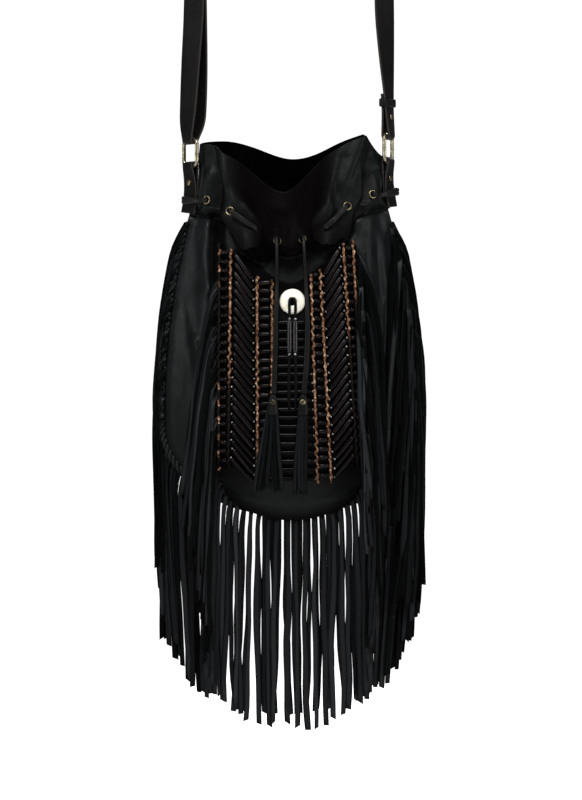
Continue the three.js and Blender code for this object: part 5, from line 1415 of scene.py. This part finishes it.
def ring_points(x, z, turn):
    """Wire carried round a rectangle with round corners, in the upright plane at that turn."""
    quarter = np.linspace(0, np.pi / 2, 9)[None, :] + np.arange(4)[:, None] * np.pi / 2
    away = np.stack([np.cos(quarter), np.sin(quarter)], -1)
    straight = np.array([RING["half"] - RING["corner"], RING["rise"] - RING["corner"]])
    corner = np.array([(1, 1), (-1, 1), (-1, -1), (1, -1)]) * straight
    line = (corner[:, None, :] + RING["corner"] * away).reshape(-1, 1, 2)
    wire = full_turn(14)
    flat = line + RING["wire"] * np.cos(wire)[None, :, None] * away.reshape(-1, 1, 2)
    deep = RING["wire"] * np.sin(wire)[None, :, None]
    middle, up = np.array([x, 0, z]), np.array([0, 0, 1.0])
    return middle + flat[..., :1] * across_at(turn) + deep * out_at(turn) + flat[..., 1:] * up


ring_brass = mottled(
    "ring_brass", 170, (0.16, 0.145, 0.10), (0.50, 0.45, 0.32), 5, rough=(240, 0.22, 0.40), Metallic=1.0
)
for side, ring in RINGS.items():
    ring_piece = shape(f"ring_{side}_wire", ring_points(*ring), [ring_brass], **HOOP)
    fit(ring_piece, "antique_brass", f"ring_{side}")

# Strap: one long band of firm black hide with bare cut edges, folded up through each ring.
# The left end lies doubled along the run and is sewn, the right end is held by a keeper loop and a rivet.
# Its top, outside the photo, is finished as a plain arch.
STRAP = {"wide": 0.028, "at_ring": 0.023, "arch": 0.104, "thick": 0.0024, "clear": 0.0005}
# each station of a run: z, x, turn and opening between the two layers
STRAP_LEFT = np.array([
    (-0.300, -0.104, 36, 0.0006), (-0.345, -0.104, 38, 0.003), (-0.400, -0.105, 44, 0.010),
    (-0.445, -0.1062, 50, 0.012), (-0.466, -0.1072, 57, 0.0125),
])
STRAP_LEFT_UP = np.array([(-0.240, -0.104, 52, 0), (-0.170, -0.104, 74, 0)])
STRAP_RIGHT_DOWN = np.array([
    (-0.170, 0.104, 106, 0), (-0.240, 0.1035, 128, 0), (-0.330, 0.1035, 143, 0), (-0.390, 0.106, 126, 0),
])
STRAP_RIGHT = np.array([(-0.432, 0.108, 112, 0.0008), (-0.452, 0.1086, 108, 0.0012)])
BAND_SECTION = np.array([
    # share of the width, and of the thickness
    (-0.5, 0.3), (-0.485, 0.06), (-0.46, 0), (-0.2, -0.02), (0.2, -0.02), (0.46, 0),
    (0.485, 0.06), (0.5, 0.3), (0.5, 0.7), (0.485, 0.94), (0.46, 1),
    (0.2, 1.02), (-0.2, 1.02), (-0.46, 1), (-0.485, 0.94), (-0.5, 0.7),
])
BAND_EDGE = 0.482


def run_of(rows, side, wide):
    """Stations of one layer of a run: x, y, z, turn and width, half the opening off its middle."""
    z, x, turn, opening = rows.T
    shift = out_at(turn) * (side * opening / 2)[:, None]
    return np.column_stack([x + shift[:, 0], shift[:, 1], z, turn, np.full(len(rows), wide)])


def fold_round(ring, bar, wide, sense, steps=8):
    """Stations of a half turn round a ring's bar: under it for sense 1, over it for sense -1."""
    x, _, turn = ring
    angle = np.linspace(0, np.pi, steps)
    reach = RING["wire"] + STRAP["clear"]
    shift = out_at(turn) * (-reach * np.cos(angle))[:, None]
    z = bar - sense * reach * np.sin(angle)
    return np.column_stack([x + shift[:, 0], shift[:, 1], z, np.full(steps, turn), np.full(steps, wide)])


def band_points(stations, thick):
    """Leather band along stations: a flat section with eased edges; width along the turn's across
    direction, thickness away from the inner side. Tone is 1 on the cut edges."""
    path, turn, wide = stations[:, :3], stations[:, 3], stations[:, 4]
    along = unit(np.gradient(path, axis=0))
    across = squared(across_at(turn), along)
    back = -np.cross(along, across)
    grid = path[:, None, :] + wide[:, None, None] * BAND_SECTION[None, :, :1] * across[:, None, :]
    grid = grid + thick * BAND_SECTION[None, :, 1:] * back[:, None, :]
    edge = (np.abs(BAND_SECTION[:, 0]) > BAND_EDGE).astype(float)
    return grid, np.broadcast_to(edge[None, :], grid.shape[:2])


def firm_hide(name, dark, light, edge, rough):
    """Firm strap hide: smooth mottled black with fine grain, and a lighter raw edge where tone is 1."""
    material, tree, shader, place = finish_of(name, Specular_IOR_Level=0.12)
    wave = bump(tree, noise(tree, place, 48, 4), 0.18, 0.002)
    give(shader, {
        "Base Color": blend(tree, tone_of(tree), spread_colour(tree, place, 35, dark, light), edge),
        "Roughness": spread_value(tree, place, 80, rough - 0.06, rough + 0.10),
        "Normal": bump(tree, pebbles(tree, place, 720), 0.2, 0.0004, Normal=wave),
    })
    return material


strap_hide = firm_hide(
    "strap_hide", (0.0013, 0.0013, 0.0013), (0.0034, 0.0033, 0.0033), (0.021, 0.018, 0.017), 0.52
)
arch_angle = np.linspace(0, np.pi, 25)
arch_x, arch_z = -STRAP["arch"] * np.cos(arch_angle), STRAP["arch"] * (np.sin(arch_angle) - 1)
arch_turn, arch_wide = np.full_like(arch_x, 90), np.full_like(arch_x, STRAP["wide"])
strap_stations = np.concatenate([
    run_of(STRAP_LEFT, -1, STRAP["wide"]),
    fold_round(RINGS["left"], RINGS["left"][1] + RING["rise"], STRAP["at_ring"], 1),
    run_of(STRAP_LEFT[::-1], 1, STRAP["wide"]),
    run_of(STRAP_LEFT_UP, 0, STRAP["wide"]),
    np.column_stack([arch_x, 0 * arch_x, arch_z, arch_turn, arch_wide]),
    run_of(STRAP_RIGHT_DOWN, 0, STRAP["wide"]),
    run_of(STRAP_RIGHT, -1, STRAP["wide"]),
    fold_round(RINGS["right"], RINGS["right"][1] + RING["rise"], STRAP["at_ring"], 1),
    run_of(STRAP_RIGHT[::-1], 1, STRAP["wide"]),
])
strap_grid, strap_tone = band_points(cut_corners(strap_stations, 3), STRAP["thick"])
fit(shape("shoulder_strap", strap_grid, [strap_hide], **BAR, tone=strap_tone), "black_leather", "strap")

# Keeper: a narrow loop of hide round both layers of the strap's right end, and the rivet below it.
# The rivet is a brass cap set through the two layers from the outside.
KEEPER = {
    "z": -0.442, "x": 0.1083, "turn": 110, "thick": 0.0016,
    "height": 0.009, "wide": 0.0294, "deep": 0.0076,
}
STRAP_RIVET = {"x": 0.1086, "z": -0.457, "radius": 0.0030, "rise": 0.0016, "apart": 0.0006}
# how far the foot of a rivet cap stands off the band
RIVET_PROUD = 0.0008
KEEPER_WALL = np.array([
    # share of the thickness, and of the height
    (0, -0.5), (0.15, -0.5), (0.85, -0.48), (1, -0.40), (1.1, 0),
    (1, 0.40), (0.85, 0.48), (0.15, 0.5), (0, 0.5),
])


def squarish(wave):
    """A wave flattened towards a square one: its size to a low power, with its sign."""
    return np.abs(wave) ** 0.35 * np.sign(wave)


keeper_angle = full_turn(48)[:, None]
keeper_across, keeper_out = across_at(KEEPER["turn"]), out_at(KEEPER["turn"])
keeper_far = KEEPER["thick"] * KEEPER_WALL[:, 0][None, :]
keeper_wide = squarish(np.cos(keeper_angle)) * (KEEPER["wide"] / 2 + keeper_far)
keeper_deep = squarish(np.sin(keeper_angle)) * (KEEPER["deep"] / 2 + keeper_far)
keeper_grid = keeper_wide[..., None] * keeper_across + keeper_deep[..., None] * keeper_out
keeper_grid = keeper_grid + [KEEPER["x"], 0, KEEPER["z"]]
keeper_grid[..., 2] += KEEPER["height"] * KEEPER_WALL[:, 1][None, :]
keeper = shape("strap_keeper_loop", keeper_grid, [strap_hide], **HOOP, tone=0.0)
fit(keeper, "black_leather", "strap_keeper")
strap_seat = np.array([STRAP_RIVET["x"], 0, STRAP_RIVET["z"]])
strap_seat = strap_seat - keeper_out * (STRAP_RIVET["apart"] + STRAP["thick"] + RIVET_PROUD)
strap_rivet_grid = rivets(STRAP_RIVET["radius"], STRAP_RIVET["rise"], [strap_seat], [-keeper_out])
fit(shape("strap_rivet_cap", strap_rivet_grid, [aged_brass], **BAR), "antique_brass", "strap_rivet")

# Ring tabs: short doubled bands of firm hide, folded over the lower bar of each ring and sewn to the
# collar's sides, with one brass rivet through both layers under the ring. The cord passes outside them.
TAB = {"wide": 0.023, "thick": 0.002, "pinch": 0.0006}
TAB_ROWS = {
    # z, x and turn of each station from the ring down, and the side that faces out
    "left": (np.array([(-0.530, -0.1085, 56), (-0.548, -0.1085, 50), (-0.5640, -0.1112, 48)]), 1),
    "right": (np.array([(-0.525, 0.1085, 112), (-0.542, 0.1100, 116), (-0.5570, 0.1130, 114)]), -1),
}
TAB_RIVET = (0.0034, 0.0017)
for side, (tab_rows, outer) in TAB_ROWS.items():
    tab_full = np.column_stack([tab_rows, np.full(3, TAB["pinch"])])
    tab_run = {way: run_of(tab_full if way == outer else tab_full[:2], way, TAB["wide"]) for way in (1, -1)}
    tab_fold = fold_round(RINGS[side], RINGS[side][1] - RING["rise"], TAB["wide"], -1)
    tab_line = np.concatenate([tab_run[1][::-1], tab_fold[::-1], tab_run[-1]])
    tab_grid, tab_tone = band_points(cut_corners(tab_line, 3), TAB["thick"])
    tab = shape(f"ring_tab_{side}_band", tab_grid, [strap_hide], **BAR, tone=tab_tone)
    fit(tab, "black_leather", f"ring_tab_{side}")
    tab_z, tab_x, tab_turn = tab_rows[0]
    tab_out = out_at(tab_turn) * outer
    tab_seat = np.array([tab_x, 0, tab_z]) + tab_out * (TAB["pinch"] / 2 + TAB["thick"] + RIVET_PROUD)
    tab_rivet = shape(f"tab_rivet_{side}_cap", rivets(*TAB_RIVET, [tab_seat], [tab_out]), [aged_brass], **BAR)
    fit(tab_rivet, "antique_brass", f"tab_rivet_{side}")

# Studio: a plain white floor under the hanging bag, white all round, and large soft lights.
# The camera stands in front, a little above the middle of the bag, with a long lens as in the photo.
FLOOR_Z, FLOOR_HALF = -1.24, 30.0
SKY_LIGHT, SKY_SEEN = 0.12, 1.05
floor_side = np.array([-FLOOR_HALF, FLOOR_HALF])
floor_grid = np.stack(np.meshgrid(floor_side, floor_side, [FLOOR_Z], indexing="ij"), -1)[:, :, 0]
floor_white, tree, shader, _ = finish_of(
    "floor_white", Roughness=0.9, Base_Color=(0.88, 0.88, 0.88, 1), Emission_Color=(1, 1, 1, 1)
)
give(shader, {"Emission Strength": put(tree, "ShaderNodeLightPath", {}).outputs["Is Camera Ray"]})
floor = shape("floor", floor_grid, [floor_white], turn_over=True)

world = bpy.data.worlds.new("studio")
bpy.context.scene.world = world
world.use_nodes = True
seen = put(world.node_tree, "ShaderNodeLightPath", {}).outputs["Is Camera Ray"]
sky_strength = levels(world.node_tree, seen, SKY_LIGHT, SKY_SEEN)
give(world.node_tree.nodes["Background"], {"Color": (1, 1, 1, 1), "Strength": sky_strength})
bpy.context.scene.view_settings.view_transform = "Standard"


def softbox(name, place, aim, width, height, power):
    """A rectangular soft light at a place, turned to face its aim."""
    light = bpy.data.lights.new(name, "AREA")
    light.shape = "RECTANGLE"
    light.size, light.size_y, light.energy = width, height, power
    box = bpy.data.objects.new(name, light)
    box.location = place
    box.rotation_euler = (Vector(aim) - Vector(place)).to_track_quat("-Z", "Y").to_euler()
    bpy.context.scene.collection.objects.link(box)


softbox("high_box", (-0.2, -1.7, 1.3), (0, 0, -0.70), 1.2, 0.8, 72)
softbox("left_box", (-2.5, -1.3, -0.30), (0, 0, -0.55), 1.2, 1.0, 25)
softbox("right_box", (2.3, -1.5, -0.35), (0, 0, -0.70), 1.0, 1.2, 26)
softbox("back_box", (0.3, 2.4, 0.4), (0, 0, -0.75), 1.2, 1.2, 30)

CAMERA = {"distance": 6.0, "elevation": 0.4, "aim": (0.00165, -0.030, -0.7700), "tall": 0.880, "sensor": 24}
lens = bpy.data.cameras.new("camera")
lens.sensor_fit = "VERTICAL"
lens.sensor_height = CAMERA["sensor"]
lens.lens = CAMERA["sensor"] * CAMERA["distance"] / CAMERA["tall"]
lens.clip_end = 100
camera = bpy.data.objects.new("camera", lens)
tilt = np.radians(CAMERA["elevation"])
camera.location = np.array(CAMERA["aim"]) + CAMERA["distance"] * np.array([0, -np.cos(tilt), np.sin(tilt)])
camera.rotation_euler = (np.pi / 2 - tilt, 0, 0)
bpy.context.scene.collection.objects.link(camera)
bpy.context.scene.camera = camera
